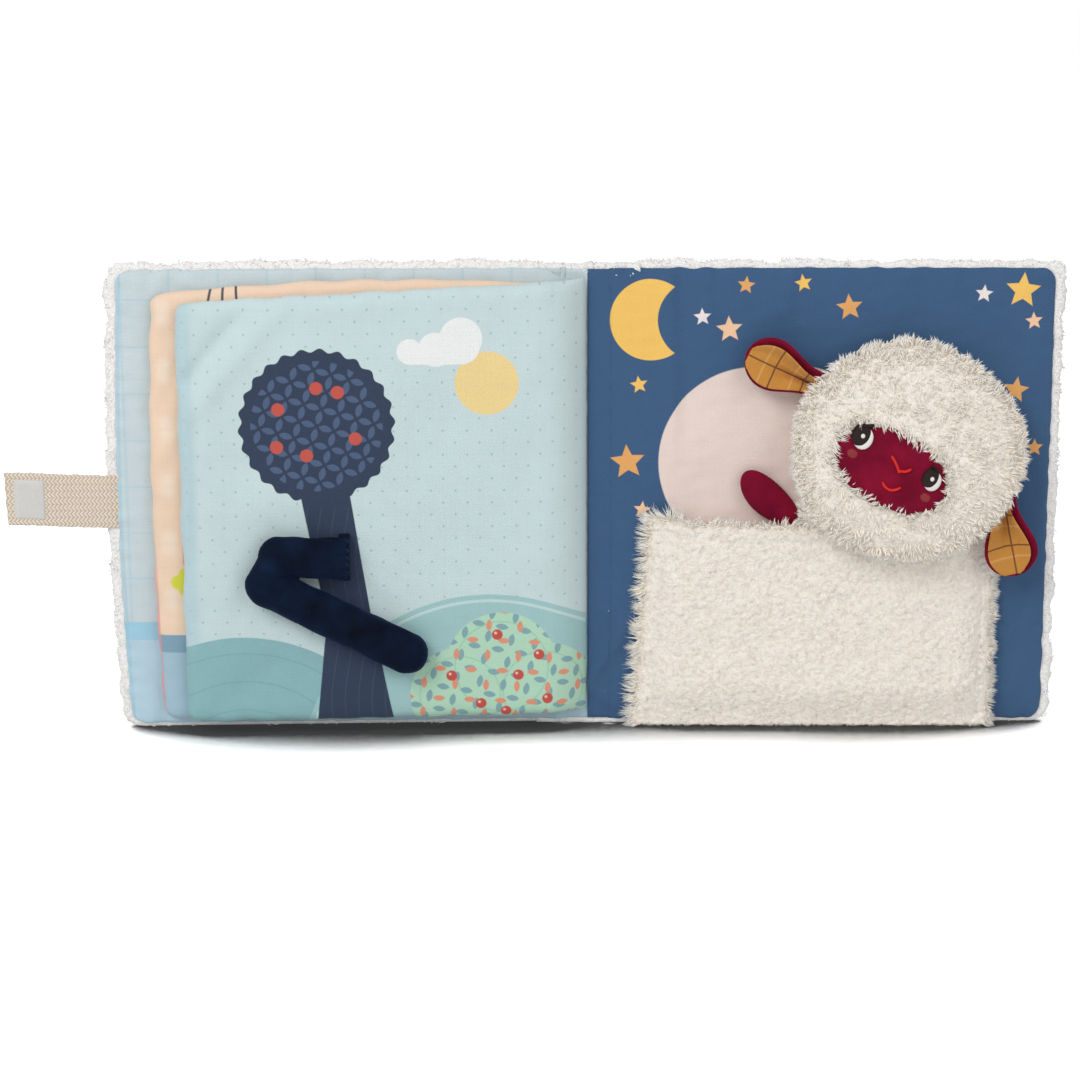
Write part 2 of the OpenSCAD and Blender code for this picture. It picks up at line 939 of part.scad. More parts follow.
// The leaves' other sides, towards the front cover
module reverse_skin(x0, w, back, t) {
  lean_front()
    slab(back, back + t)
      intersection() {
        polygon(leaf_outline(x0, w, leaf_seam));
        translate([x0 - deep - leaf_ramp, 0])
          square([deep, tall]);
      }
}

module last_leaf_reverse() {
  color("#c9dcdc")
    reverse_skin(leaf_one_x, leaf_one_w, leaf_one_back, print_t / 2);
}

module first_leaf_reverse() {
  color("#f3d3b5")
    reverse_skin(leaf_two_x, leaf_two_w, leaf_two_back, print_t);
}

// Printed fields on the aqua page

module page_print() {
  front_skin(leaf_one_x, leaf_one_w, leaf_one_front, leaf_one_sewn, page_t, print_t)
    children();
}

tree_x = -128;
tree_z = 152;
tree_r = 36;
trunk_x = -112;
sun_x = -48;
sun_z = 172;
sun_r = 15;
cloud_puffs = [[-24, 16, 8], [-12, 21, 10], [-36, 15, 6]];

module tree_shape() {
  scallops = 26;
  translate([tree_x, tree_z])
    polygon([
      for (i = [0:4 * scallops - 1])
        let (a = 360 * i / (4 * scallops), r = tree_r * (1 + 0.025 * sin(a * scallops)))
          [r * cos(a), r * sin(a)]
    ]);
  polygon([
    [trunk_x - 19, 0], [trunk_x - 11, 40], [trunk_x - 12, 80], [tree_x - 8, tree_z - tree_r + 6],
    [tree_x + 14, tree_z - tree_r + 6], [trunk_x + 8, 86], [trunk_x + 10, 40], [trunk_x + 20, 0]
  ]);
}

module bush_shape() {
  lumps = [[-62, 20, 24], [-42, 34, 27], [-22, 22, 24]];
  for (p = lumps)
    translate([p[0], p[1]])
      circle(r = p[2]);
}

module hills_shape() {
  translate([-165, -28])
    circle(r = 78);
  translate([-48, -22])
    circle(r = 92);
}

module berry_shape() {
  for (p = [[-66, 30], [-52, 16], [-44, 50], [-34, 30], [-24, 40], [-20, 18], [-40, 12]])
    translate([p[0], p[1]])
      circle(r = 2.6, $fn = 16);
}

module page_tree() {
  color("#2d3a52")
    page_print()
      tree_shape();
}

module page_hills() {
  color("#8fbcc0")
    page_print()
      difference() {
        hills_shape();
        tree_shape();
        bush_shape();
      }
}

module page_bush() {
  color("#b5dcc0")
    page_print()
      difference() {
        bush_shape();
        berry_shape();
      }
}

module page_berries() {
  color("#c9534a")
    page_print()
      berry_shape();
}

module page_sun() {
  color("#f6dc9a")
    page_print()
      translate([sun_x, sun_z])
        circle(r = sun_r);
}

module page_cloud() {
  color("#f4f7f6")
    page_print()
      for (p = cloud_puffs)
        difference() {
          translate([sun_x + p[0], sun_z + p[1]])
            circle(r = p[2]);
          translate([sun_x, sun_z])
            circle(r = sun_r);
        }
}

// Velvet arm, sewn to the aqua page at its shoulder

arm_face = leaf_one_front - page_t - print_t - clear;
arm_y = arm_face - arm_t / 2;
elbow_x = -shoulder_x - upper_arm_l;
elbow_z = shoulder_z - 6;

module arm_ball(x, z, w, t) {
  translate([x, arm_y, z])
    scale([w / 2, t / 2, w / 2])
      sphere(r = 1, $fn = 24);
}

module velvet_arm() {
  hand_x_end = elbow_x + forearm_l * cos(forearm_fall);
  hand_z_end = elbow_z - 8 - forearm_l * sin(forearm_fall);
  color("#14213f")
    lean_front() {
      intersection() {
        hull() {
          arm_ball(-shoulder_x, shoulder_z, arm_w, arm_t * 0.8);
          arm_ball(elbow_x + 6, elbow_z + 6, arm_w, arm_t * 0.9);
          arm_ball(elbow_x, elbow_z, arm_w, arm_t);
        }
        translate([-shoulder_x - deep, arm_y - deep / 2, 0])
          cube([deep, deep, tall]);
      }
      hull() {
        arm_ball(elbow_x, elbow_z, arm_w, arm_t);
        arm_ball(elbow_x + 3, elbow_z - 8, arm_w, arm_t);
        arm_ball(hand_x_end, hand_z_end, arm_w * 0.95, arm_t * 0.95);
      }
    }
}

// The gathered end of the sleeve, sewn down on the page
module arm_shoulder() {
  w = 4;
  color("#223256")
    lean_front()
      slab(arm_y - arm_t * 0.4, leaf_one_front - page_t - print_t)
        translate([-shoulder_x, shoulder_z - arm_w / 2])
          square([w, arm_w]);
}

front_cover_fleece();
front_cover_wadding();
front_cover_lining();
front_lining_check();
front_lining_band();
closure_strap();
strap_fastening_patch();
back_cover_fleece();
back_cover_wadding();
night_lining();
moon_print();
yellow_stars();
orange_stars();
peach_stars();
white_stars();
pillow_print();
cover_fastening_patch();
fleece_pocket();
doll_body();
doll_head();
doll_face();
doll_eyes();
eye_glints();
nose_stitches();
smile_stitches();
doll_cheeks();
left_ear_back();
left_ear_lining();
right_ear_back();
right_ear_lining();
doll_hand();
spine_fleece();
spine_lining();
page_leaves();
aqua_page();
peach_page();
last_leaf_reverse();
first_leaf_reverse();
peach_page_band();
page_tree();
page_hills();
page_bush();
page_sun();
page_berries();
page_cloud();
velvet_arm();
arm_shoulder();
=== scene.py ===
"""The looks of the cloth activity book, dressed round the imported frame.

Shapes are worked out in millimetres, in the frame of the CAD model. What lies on the left is drawn square
to the front cover and then leaned with it. A mesh turns to metres when its piece is made.
"""

import math

import bmesh
import bpy
import numpy as np
from mathutils.kdtree import KDTree
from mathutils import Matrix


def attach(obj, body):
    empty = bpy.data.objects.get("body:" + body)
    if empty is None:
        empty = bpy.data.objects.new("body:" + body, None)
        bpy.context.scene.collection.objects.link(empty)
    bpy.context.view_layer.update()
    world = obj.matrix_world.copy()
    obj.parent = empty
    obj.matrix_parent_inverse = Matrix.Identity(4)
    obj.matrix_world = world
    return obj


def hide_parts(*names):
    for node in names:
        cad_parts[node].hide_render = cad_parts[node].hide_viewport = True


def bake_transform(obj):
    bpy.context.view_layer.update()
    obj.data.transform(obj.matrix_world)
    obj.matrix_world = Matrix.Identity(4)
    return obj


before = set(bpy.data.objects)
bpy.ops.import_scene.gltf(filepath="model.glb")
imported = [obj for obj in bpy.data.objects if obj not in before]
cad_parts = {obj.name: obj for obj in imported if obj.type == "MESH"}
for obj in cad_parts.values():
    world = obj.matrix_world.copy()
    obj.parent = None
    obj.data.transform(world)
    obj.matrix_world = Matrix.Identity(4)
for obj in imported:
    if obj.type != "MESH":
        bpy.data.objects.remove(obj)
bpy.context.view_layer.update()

scene = bpy.context.scene
scene.view_settings.view_transform = "Standard"

# Sizes shared with the CAD model, in millimetres
HINGE_X, HINGE_Y = 10.0, -3.0
LEAN = math.radians(2.5)
FACE_Y = -4.0
PANEL_EDGE, PANEL_FOOT, PANEL_TOP = 221.5, 3.0, 224.0
FLEECE_EDGE, FLEECE_TOP = 227.5, 227.0
ARM_Y, STRAP_Z = -26.9, 112.5


def make_camera():
    data = bpy.data.cameras.new("camera")
    data.lens = 82.9
    data.shift_x, data.shift_y = -0.044, -0.0342
    data.clip_end = 50
    camera = bpy.data.objects.new("camera", data)
    camera.location = (0, -1.1742, 0.3577)
    camera.rotation_euler = (math.radians(90 - 11.91), 0, 0)
    scene.collection.objects.link(camera)
    scene.camera = camera


make_camera()

# Shader expressions


class Channel:
    """A socket of a material. Arithmetic on it adds Math nodes, and node() adds any other node."""

    def __init__(self, tree, socket=None):
        self.tree = tree
        self.socket = socket

    def node(self, kind, settings=None, sockets=None, out=0):
        """Adds a node: its settings first, then the values or links of its sockets."""
        made = self.tree.nodes.new("ShaderNode" + kind)
        for name, value in (settings or {}).items():
            if name == "stops":
                ramp = made.color_ramp
                while len(ramp.elements) < len(value):
                    ramp.elements.new(0.5)
                for stop, (at, colour) in zip(ramp.elements, value):
                    stop.position, stop.color = at, colour
            else:
                setattr(made, name, value)
        for name, value in (sockets or {}).items():
            if isinstance(value, Channel):
                self.tree.links.new(value.socket, made.inputs[name])
            else:
                made.inputs[name].default_value = value
        return Channel(self.tree, made.outputs[out] if len(made.outputs) else None)

    def other(self, out):
        """Another output of the same node."""
        return Channel(self.tree, self.socket.node.outputs[out])

    def maths(self, operation, *values):
        return self.node("Math", {"operation": operation}, dict(enumerate(values)))

    def __add__(self, b):
        return self.maths("ADD", self, b)

    def __radd__(self, a):
        return self.maths("ADD", a, self)

    def __sub__(self, b):
        return self.maths("SUBTRACT", self, b)

    def __rsub__(self, a):
        return self.maths("SUBTRACT", a, self)

    def __mul__(self, b):
        return self.maths("MULTIPLY", self, b)

    def __rmul__(self, a):
        return self.maths("MULTIPLY", a, self)

    def __truediv__(self, b):
        return self.maths("DIVIDE", self, b)

    def __rtruediv__(self, a):
        return self.maths("DIVIDE", a, self)

    def __neg__(self):
        return self.maths("MULTIPLY", self, -1)

    def __abs__(self):
        return self.maths("ABSOLUTE", self)

    def __or__(self, b):
        """Where either mask is on."""
        return self.maths("MAXIMUM", self, b)

    def __and__(self, b):
        """Where both masks are on."""
        return self.maths("MINIMUM", self, b)


def linear(code):
    """A colour from its screen code, such as #cfe0df."""
    parts = [int(code[i:i + 2], 16) / 255 for i in (1, 3, 5)]
    return (*[c / 12.92 if c <= 0.04045 else ((c + 0.055) / 1.055) ** 2.4 for c in parts], 1.0)


def sine(angle):
    return angle.maths("SINE", angle)


def root_of(value):
    return value.maths("SQRT", value)


def over(mask, below, above):
    """Colour above where the mask is on, and colour below elsewhere."""
    return mask.node("Mix", {"data_type": "RGBA"}, {0: mask, 6: below, 7: above}, out=2)


def shaded(colour, level):
    """A colour made lighter or darker by a level near 1."""
    settings = {"data_type": "RGBA", "blend_type": "MULTIPLY"}
    return level.node("Mix", settings, {0: 1.0, 6: colour, 7: level}, out=2)


def within(away, soft=0.3):
    """1 where a distance is below zero, with an edge that is soft to both sides."""
    return away.node(
        "MapRange", {"interpolation_type": "SMOOTHSTEP"},
        {"Value": away, "From Min": -soft, "From Max": soft, "To Min": 1.0, "To Max": 0.0},
    )


def noise_at(x, y, z, detail=2.0, roughness=0.5):
    vector = x.node("CombineXYZ", {}, {0: x, 1: y, 2: z})
    return x.node("TexNoise", {}, {"Vector": vector, "Scale": 1.0, "Detail": detail, "Roughness": roughness})


def new_material(name):
    material = bpy.data.materials.new(name)
    material.use_nodes = True
    material.node_tree.nodes.clear()
    return material, Channel(material.node_tree)


def place_in_mm(start, leaned=False):
    """X, Y and Z of a place on the piece in millimetres. A leaned piece's are square to the front cover."""
    turn = -LEAN if leaned else 0.0
    shift = (
        -HINGE_X * (1 - math.cos(turn)) + math.sin(turn) * HINGE_Y if leaned else 0.0,
        HINGE_Y * (1 - math.cos(turn)) + math.sin(turn) * HINGE_X if leaned else 0.0,
        0.0,
    )
    place = start.node("TexCoord", out="Object")
    scaled = start.node(
        "Mapping", {"vector_type": "POINT"},
        {"Vector": place, "Location": shift, "Rotation": (0, 0, turn), "Scale": (1000, 1000, 1000)},
    )
    x = start.node("SeparateXYZ", {}, {0: scaled})
    return x, x.other(1), x.other(2)


def surface(start, colour, roughness, height=None, depth=0.1, **fixed):
    """Ends a material. The height is in units of depth, which is in millimetres."""
    sockets = {"Base Color": colour, "Roughness": roughness, "IOR": 1.45}
    sockets.update({name.replace("_", " "): value for name, value in fixed.items()})
    if height is not None:
        bump = {"Height": height, "Distance": depth * 0.001, "Strength": 1.0}
        sockets["Normal"] = start.node("Bump", {}, bump)
    shader = start.node("BsdfPrincipled", {}, sockets)
    start.node("OutputMaterial", {}, {"Surface": shader})


# Prints


def away_from(x, z, cx, cz):
    """Distance from a point of the print."""
    dx, dz = x - cx, z - cz
    return root_of(dx * dx + dz * dz)


def disc(x, z, cx, cz, r, soft=0.3):
    return within(away_from(x, z, cx, cz) - r, soft)


def star(x, z, cx, cz, r, turn):
    """A five-pointed star like the CAD model's, by folding the circle into ten equal parts."""
    waist = 0.46
    dx, dz = x - cx, z - cz
    angle = x.maths("ARCTAN2", dz, dx) - math.radians(90 + turn) + 20 * math.pi
    fifth = math.radians(72)
    folded = abs(x.maths("PINGPONG", angle, fifth / 2))
    away = away_from(x, z, cx, cz)
    inner = (waist * math.cos(fifth / 2), waist * math.sin(fifth / 2))
    across = math.hypot(inner[1], 1 - inner[0])
    nx, nz = inner[1] / across, (1 - inner[0]) / across
    edge = away * (x.maths("COSINE", folded) * nx + sine(folded) * nz) - r * nx
    return within(edge, 0.25)


def strip(value, low, high, soft=0.3):
    """1 between two levels."""
    return within(abs(value - (low + high) / 2) - (high - low) / 2, soft)


def lines(value, half_pitch, thick, soft):
    """Thin lines, two half pitches of the value apart."""
    return strip(value.maths("PINGPONG", value, half_pitch), -1, thick, soft)


def bar(x, z, ax, az, bx, bz, half_a, half_b, soft=0.3):
    """A straight bar that tapers from one half width to another."""
    length = math.hypot(bx - ax, bz - az)
    ux, uz = (bx - ax) / length, (bz - az) / length
    along = (x - ax) * ux + (z - az) * uz
    beside = abs((x - ax) * -uz + (z - az) * ux)
    share = along.node("Clamp", {}, {"Value": along / length})
    return within(beside - (share * (half_b - half_a) + half_a), soft) & strip(along, 0, length, soft)


def cotton(name, paint, leaned=False, roughness=0.86):
    """Printed plain-weave cotton. paint gives the colour at a place."""
    material, start = new_material(name)
    x, y, z = place_in_mm(start, leaned)
    colour = paint(x, z)
    pitch = 0.8
    threads = sine(x * (math.pi / pitch)) * sine(z * (math.pi / pitch))
    slub_across = noise_at(x * 0.055, z * 1.15, y * 0.05)
    slub_along = noise_at(x * 1.15, z * 0.055, y * 0.05 + 7.3)
    mottle = noise_at(x * 0.03, z * 0.03, y * 0.03 + 3.1, 3.0)
    # The weave's crossings lighten and darken the colour a little, a painted shade on the weave; the slubs
    # and mottle are the cloth's own uneven tone.
    level = 0.835 + (slub_across + slub_along) * 0.055 + mottle * 0.06 + threads * 0.02
    height = threads * 0.5 + (slub_across + slub_along) * 1.1
    surface(start, shaded(colour, level), roughness, height, 0.09, Sheen_Weight=0.12, Sheen_Roughness=0.5)
    return material


def paint_front_lining(x, z):
    """Pale blue with thin soft lines and a band, as on the inside of the front cover."""
    cloud = noise_at(x * 0.02, z * 0.02, 0.0)
    ground = over(cloud * 0.8, linear("#c9dae0"), linear("#d7e1e3"))
    edge = -PANEL_EDGE + 1.6
    above = within(54 - z, 0.4)
    upright = lines(x - edge, 11.5, 0.55, 0.6) * 0.4
    level = lines(z - 53.2, 11.2, 0.4, 0.5) * 0.45
    colour = over((upright | level) * above, ground, linear("#a3cfe2"))
    colour = over(strip(z, 45, 54, 0.5), colour, linear("#a5d3e8"))
    colour = over(within(z - 45, 0.5), colour, linear("#bfdbe8"))
    bowed = x + sine(z * (math.pi / PANEL_TOP)) * 3.2
    return over(strip(bowed, edge - 0.7, edge + 0.6, 0.6) * 0.6, colour, linear("#9fd0e6"))


def paint_peach(x, z):
    """Peach with pale spots, small marks, a dusty blue band at the foot and a coral line by the free edge."""
    spots = disc(x, z.maths("PINGPONG", z - 12, 13.8), -199.5, 2.5, 3.2, 2.2)
    colour = over(spots * 0.4, linear("#f7d9bf"), linear("#fdf0e2"))
    for foot, top in ((-178.4, -176.4), (-171.2, -170.9), (-164.2, -164.9)):
        colour = over(bar(x, z, foot, 207, top, 217.5, 0.6, 0.6), colour, linear("#55545c"))
    colour = over(strip(x, -193.4, -191.8, 0.5) * strip(z, 84, 116, 1.0), colour, linear("#f09a96"))
    for cx, cz in ((-192.5, 79), (-192.5, 72), (-196, 75.5)):
        colour = over(disc(x, z, cx, cz, 3.4), colour, linear("#dcdc4a"))
    colour = over(within(z - 49.4, 0.5), colour, linear("#a9c6d6"))
    colour = over(strip(z, 40.8, 49.4, 0.5), colour, linear("#84a7ba"))
    bowed = x + sine((z - 6) * (math.pi / 208)) * 2.4
    return over(strip(bowed, -206.5, -203.9, 0.5) * within(z - 85, 25.0) * 0.75, colour, linear("#ee9691"))


def leaf_marks(x, z, turn, shift, pitch, half):
    """Small pointed leaves in mirrored rows that repeat at pitch. half is a leaf's half length."""
    ax = x * math.cos(turn) + z * math.sin(turn)
    az = z * math.cos(turn) - x * math.sin(turn)
    fx = x.maths("PINGPONG", ax + (40 * pitch + shift), pitch / 2) - pitch / 4
    fz = x.maths("PINGPONG", az + (40 * pitch + shift), pitch / 2) - pitch / 4
    along, beside = (fx + fz) * 0.707, abs((fx - fz) * 0.707)
    reach = root_of(along * along + (beside + half * 0.8) * (beside + half * 0.8))
    return within(reach - half * 1.28, 0.2)


def paint_page(x, z):
    """A plain landscape with a tree, hills and a berry bush."""
    pitch = 11.5
    lattice = None
    for shift in (0.0, pitch / 2):
        fx = x.maths("PINGPONG", x + (shift + 40 * pitch), pitch / 2)
        fz = x.maths("PINGPONG", z + (shift + pitch), pitch / 2)
        dots = within(root_of(fx * fx + fz * fz) - 0.55, 0.25)
        lattice = dots if lattice is None else lattice | dots
    colour = over(lattice * 0.6, linear("#cfe2e3"), linear("#93b3b8"))
    margin = within(x + 186, 2.5)
    colour = over(margin * 0.6, colour, linear("#b3d2dc"))

    # sun and cloud
    sun = disc(x, z, -48, 172, 15)
    colour = over(sun, colour, linear("#f6dc9a"))
    cloud = disc(x, z, -72, 188, 8) | disc(x, z, -60, 193, 10) | disc(x, z, -84, 187, 6)
    cloud = cloud | (strip(x, -84, -62) & strip(z, 181, 188)) | disc(x, z, -60, 190, 9)
    colour = over(cloud, colour, linear("#f4f7f6"))

    # hills
    far_hill = disc(x, z, -165, -28, 78)
    near_hill = disc(x, z, -48, -22, 92)
    furrow = lines(away_from(x, z, -165, -28), 7.0, 0.35, 0.3) * 0.6
    colour = over(far_hill, colour, over(furrow, linear("#8fbcc0"), linear("#7aaab2")))
    rim = strip(away_from(x, z, -48, -22), 88.2, 89.6) * 0.8
    colour = over(near_hill, colour, over(rim, linear("#a5cccd"), linear("#cfe6e4")))

    # tree: a scalloped crown and a spreading trunk, with pale leaf marks in the crown
    dx, dz = x + 128, z - 152
    away = away_from(x, z, -128, 152)
    angle = x.maths("ARCTAN2", dz, dx)
    crown = within(away - 36 * (sine(angle * 26) * 0.025 + 1), 0.25)
    trunk = bar(x, z, -112.0, 0, -114.5, 60, 19.5, 10.5) | bar(x, z, -114.5, 58, -125.5, 124, 10.6, 11.5)
    navy = over(noise_at(x * 0.25, z * 0.25, z * 0.1, 3.0) * 0.35, linear("#2b3850"), linear("#364662"))
    colour = over(crown | trunk, colour, navy)
    leaf = leaf_marks(dx, dz, 0.5, 0.0, 12.0, 3.2)
    colour = over(leaf & within(away - 31, 0.3), colour, linear("#4d6080"))
    for ax, az in ((-146, 160), (-128, 170), (-110, 146), (-133, 138), (-118, 168), (-147, 142)):
        colour = over(disc(x, z, ax, az, 3.1), colour, linear("#c8584c"))
    bark = lines(x + sine(z * 0.09) * 2.0, 3.2, 0.28, 0.2) * 0.5
    colour = over(bark & (trunk & within(z - 112, 2.0)), colour, linear("#42536d"))

    # bush with leaves and berries
    lumps = ((-62, 20, 24), (-42, 34, 27), (-22, 22, 24))
    bush = None
    shadow = None
    for cx, cz, r in lumps:
        one = disc(x, z, cx, cz, r)
        line = strip(away_from(x, z, cx, cz), r - 5.0, r - 4.3, 0.25)
        bush = one if bush is None else bush | one
        shadow = line if shadow is None else shadow | line
    green = over(shadow * 0.45, linear("#b9e0c6"), linear("#86c4a8"))
    green = over(leaf_marks(x, z, 0.6, 0.0, 16.0, 3.1), green, linear("#86aeb4"))
    green = over(leaf_marks(x, z, 2.3, 6.0, 21.0, 2.9), green, linear("#e59a7c"))
    colour = over(bush, colour, green)
    for ax, az in ((-66, 30), (-52, 16), (-44, 50), (-34, 30), (-24, 40), (-20, 18), (-40, 12)):
        colour = over(disc(x, z, ax, az, 2.6), colour, linear("#c9534a"))
        colour = over(disc(x, z, ax - 0.8, az + 0.8, 0.7, 0.2), colour, linear("#f4c9b8"))
    return colour


YELLOW, ORANGE, PEACH, WHITE = "#fdcc69", "#eeae68", "#fdd0a8", "#f8ecea"
STARS = (
    (102, 217, 4.3, 10, YELLOW), (206, 213.5, 8.6, -4, YELLOW), (24.5, 168.5, 4.3, 8, YELLOW),
    (75, 216, 4.3, -6, ORANGE), (124, 205.5, 6.45, 6, ORANGE), (19.2, 131, 8.6, 5, ORANGE),
    (204, 166, 6.45, -8, ORANGE), (214, 138, 4.3, 0, ORANGE), (67.3, 195, 6.45, 4, PEACH),
    (211.6, 199, 4.3, 5, PEACH), (26.3, 107.5, 4.3, -5, PEACH), (54.4, 201, 4.3, 4, WHITE),
    (187.5, 212, 4.3, -5, WHITE),
)


def paint_night(x, z):
    """Night blue with a moon, stars and a pillow."""
    blotch = noise_at(x * 0.05, z * 0.05, z * 0.01, 3.0)
    colour = over(blotch * 0.5, linear("#375980"), linear("#3f6289"))
    body = disc(x, z, 80, 131, 46, 0.4)
    box = strip(x, 52, 118, 0.4) & strip(z, 60, 177, 0.4)
    shoulder = disc(x, z, 104, 151, 26)
    colour = over(body | (box & within(z - 151, 0.4)) | shoulder, colour, linear("#f1ded6"))
    moon = disc(x, z, 30, 199.5, 19.4, 0.25) & (1 - disc(x, z, 52.7, 199.5, 19.4, 0.25))
    colour = over(moon, colour, linear(YELLOW))
    for cx, cz, r, turn, code in STARS:
        colour = over(star(x, z, cx, cz, r, turn), colour, linear(code))
    return colour


# Other finishes


def pile_material(name, root_code, tip_code, shade=0.5, painted_light=0.13):
    """Locks of pile, warmer and a little darker at the root, partly the pile's tone and partly painted shade,
    and pale at the tip.

    A little painted glow, an emission of the locks' own colour, stands for the light that real pile lets
    through.
    """
    material, start = new_material(name)
    along = start.node("Attribute", {"attribute_name": "pile"}, out="Fac")
    lock = start.node("Attribute", {"attribute_name": "lock"}, out="Fac")
    # Painted shade: the colour darkens a little towards the root of each lock, along with its warmer tone.
    colour = over(along, linear(root_code), linear(tip_code))
    colour = shaded(colour, (lock - 1.0) * (0.12 * shade) + 1)
    # Painted glow: the locks emit a little of their own colour.
    surface(
        start, colour, 0.7, Sheen_Weight=0.8, Sheen_Roughness=0.5, Specular_IOR_Level=0.3,
        Emission_Color=colour, Emission_Strength=painted_light,
    )
    return material


def backing_material(name, code, hollow_shade_code, curl):
    """The curly face of fleece, in curls about curl millimetres wide, with painted shade in the hollows
    between them and a little painted glow.
    """
    material, start = new_material(name)
    x, y, z = place_in_mm(start)
    warp_x = noise_at(x * 0.45, y * 0.45, z * 0.45, 2.0) * 2.4
    warp_z = noise_at(x * 0.45 + 9.0, y * 0.45, z * 0.45, 2.0) * 2.4
    vector = start.node("CombineXYZ", {}, {0: x / curl + warp_x, 1: y / curl, 2: z / curl + warp_z})
    cells = start.node("TexVoronoi", {"feature": "F1"}, {"Vector": vector, "Scale": 1.0}, out="Distance")
    fine = noise_at(x * 1.9, y * 1.9, z * 1.9, 3.0, 0.65)
    soft = noise_at(x * 0.12, y * 0.12, z * 0.12, 2.0)
    # Painted shade: the colour darkens in the hollows between the curls.
    hollow_shade = start.node("MapRange", {"interpolation_type": "SMOOTHSTEP"}, {
        "Value": cells + (fine - 0.5) * 0.5, "From Min": 0.35, "From Max": 0.95})
    colour = over(hollow_shade, linear(code), linear(hollow_shade_code))
    # Painted glow: the fleece emits a little of its own colour.
    surface(
        start, shaded(colour, fine * 0.1 + soft * 0.06 + 0.92), 0.85, fine - cells, 0.55,
        Emission_Color=colour, Emission_Strength=0.07,
        Sheen_Weight=0.3, Sheen_Roughness=0.6, Specular_IOR_Level=0.3,
    )
    return material


def velvet(name, code, deep_code, sheen_code, painted_light=0.5):
    """Short-pile velvet: speckled and brushed in soft patches, with a painted sheen that makes it paler where
    it turns away.
    """
    material, start = new_material(name)
    x, y, z = place_in_mm(start)
    brushed = noise_at(x * 0.06, y * 0.06, z * 0.06, 2.0, 0.5)
    grain = noise_at(x * 2.0, y * 2.0, z * 2.0, 2.0, 0.7)
    patches = brushed.node("MapRange", {}, {"Value": brushed, "From Min": 0.3, "From Max": 0.7})
    colour = over(patches, linear(deep_code), linear(code))
    # Painted sheen: the colour pales towards the sheen colour where the surface turns away from the view.
    facing = start.node("LayerWeight", {}, {"Blend": 0.3}, out="Facing")
    colour = over(facing * facing * facing * painted_light, colour, linear(sheen_code))
    surface(
        start, shaded(colour, grain * 0.9 + 0.55), 0.85, grain, 0.22,
        Sheen_Weight=0.1, Sheen_Roughness=0.4, Sheen_Tint=linear(sheen_code), Specular_IOR_Level=0.1,
    )
    return material


def ear_cloth(name, cx, cz, turn):
    """Mustard cotton with a wide dark windowpane check set along the ear."""
    material, start = new_material(name)
    x, y, z = place_in_mm(start)
    ax = (x - cx) * math.cos(turn) + (z - cz) * math.sin(turn)
    az = (z - cz) * math.cos(turn) - (x - cx) * math.sin(turn)
    dark = lines(ax + 131.5, 7.5, 0.4, 0.15) | lines(az + 149.0, 7.5, 0.4, 0.15)
    pale = lines(ax + 126.0, 7.5, 0.45, 0.2)
    colour = over(pale * 0.4, linear("#c98a38"), linear("#e9bd7a"))
    colour = over(dark * 0.85, colour, linear("#5b2f1b"))
    threads = sine(ax * 6.4) * sine(az * 6.4)
    slub = noise_at(ax * 0.2, az * 2.2, y) + noise_at(ax * 2.2, az * 0.2, y + 5.0)
    surface(start, shaded(colour, slub * 0.14 + 0.86), 0.8, threads + slub, 0.1, Sheen_Weight=0.15)
    return material


# Pitch of the webbing's yarns, in millimetres
YARN = 1.9


def webbing_material(name):
    """Cotton webbing woven in a herringbone, with a painted highlight on the yarns and painted shade in the
    gaps between them.
    """
    material, start = new_material(name)
    x, y, z = place_in_mm(start, True)
    fibre = noise_at(x * 2.4, z * 0.9, y * 2.0, 3.0, 0.65)
    rows = z.maths("PINGPONG", z, 1.6)
    yarns = sine((x + rows) * (2 * math.pi / YARN)) * 0.5 + 0.5
    gap = within(rows - 0.12, 0.22) * 0.6
    mottle = noise_at(x * 0.15, z * 0.15, y, 2.0)
    # Painted highlight and shade: the colour is pale on the yarns' crowns and dark in the gaps, with random
    # fibre tone on top.
    woven = yarns * (1 - gap)
    colour = over(woven * 0.75 + fibre * 0.25, linear("#bba58d"), linear("#fbf0e2"))
    surface(start, shaded(colour, mottle * 0.1 + 0.95), 0.9, woven + fibre * 0.5, 0.25, Sheen_Weight=0.2)
    return material


def tape_material(name):
    material, start = new_material(name)
    x, y, z = place_in_mm(start)
    fuzz = noise_at(x * 2.4, y * 2.4, z * 2.4, 4.0, 0.75)
    colour = over(fuzz, linear("#c9c7c4"), linear("#f0eeeb"))
    surface(start, colour, 0.85, fuzz, 0.4, Sheen_Weight=0.3)
    return material


def thread_material(name, code, dark_code, turn=0.0):
    """Embroidery thread laid side by side, with painted shade between the threads."""
    material, start = new_material(name)
    x, y, z = place_in_mm(start)
    along = x * math.cos(turn) + z * math.sin(turn)
    strands = sine(along * 11.0) * 0.5 + noise_at(x * 1.6, y * 1.6, z * 1.6) * 0.8
    # Painted shade: the colour darkens between the laid threads; the noise adds the thread's own random tone.
    colour = over(strands, linear(dark_code), linear(code))
    surface(start, colour, 0.5, strands, 0.1, Specular_IOR_Level=0.25)
    return material


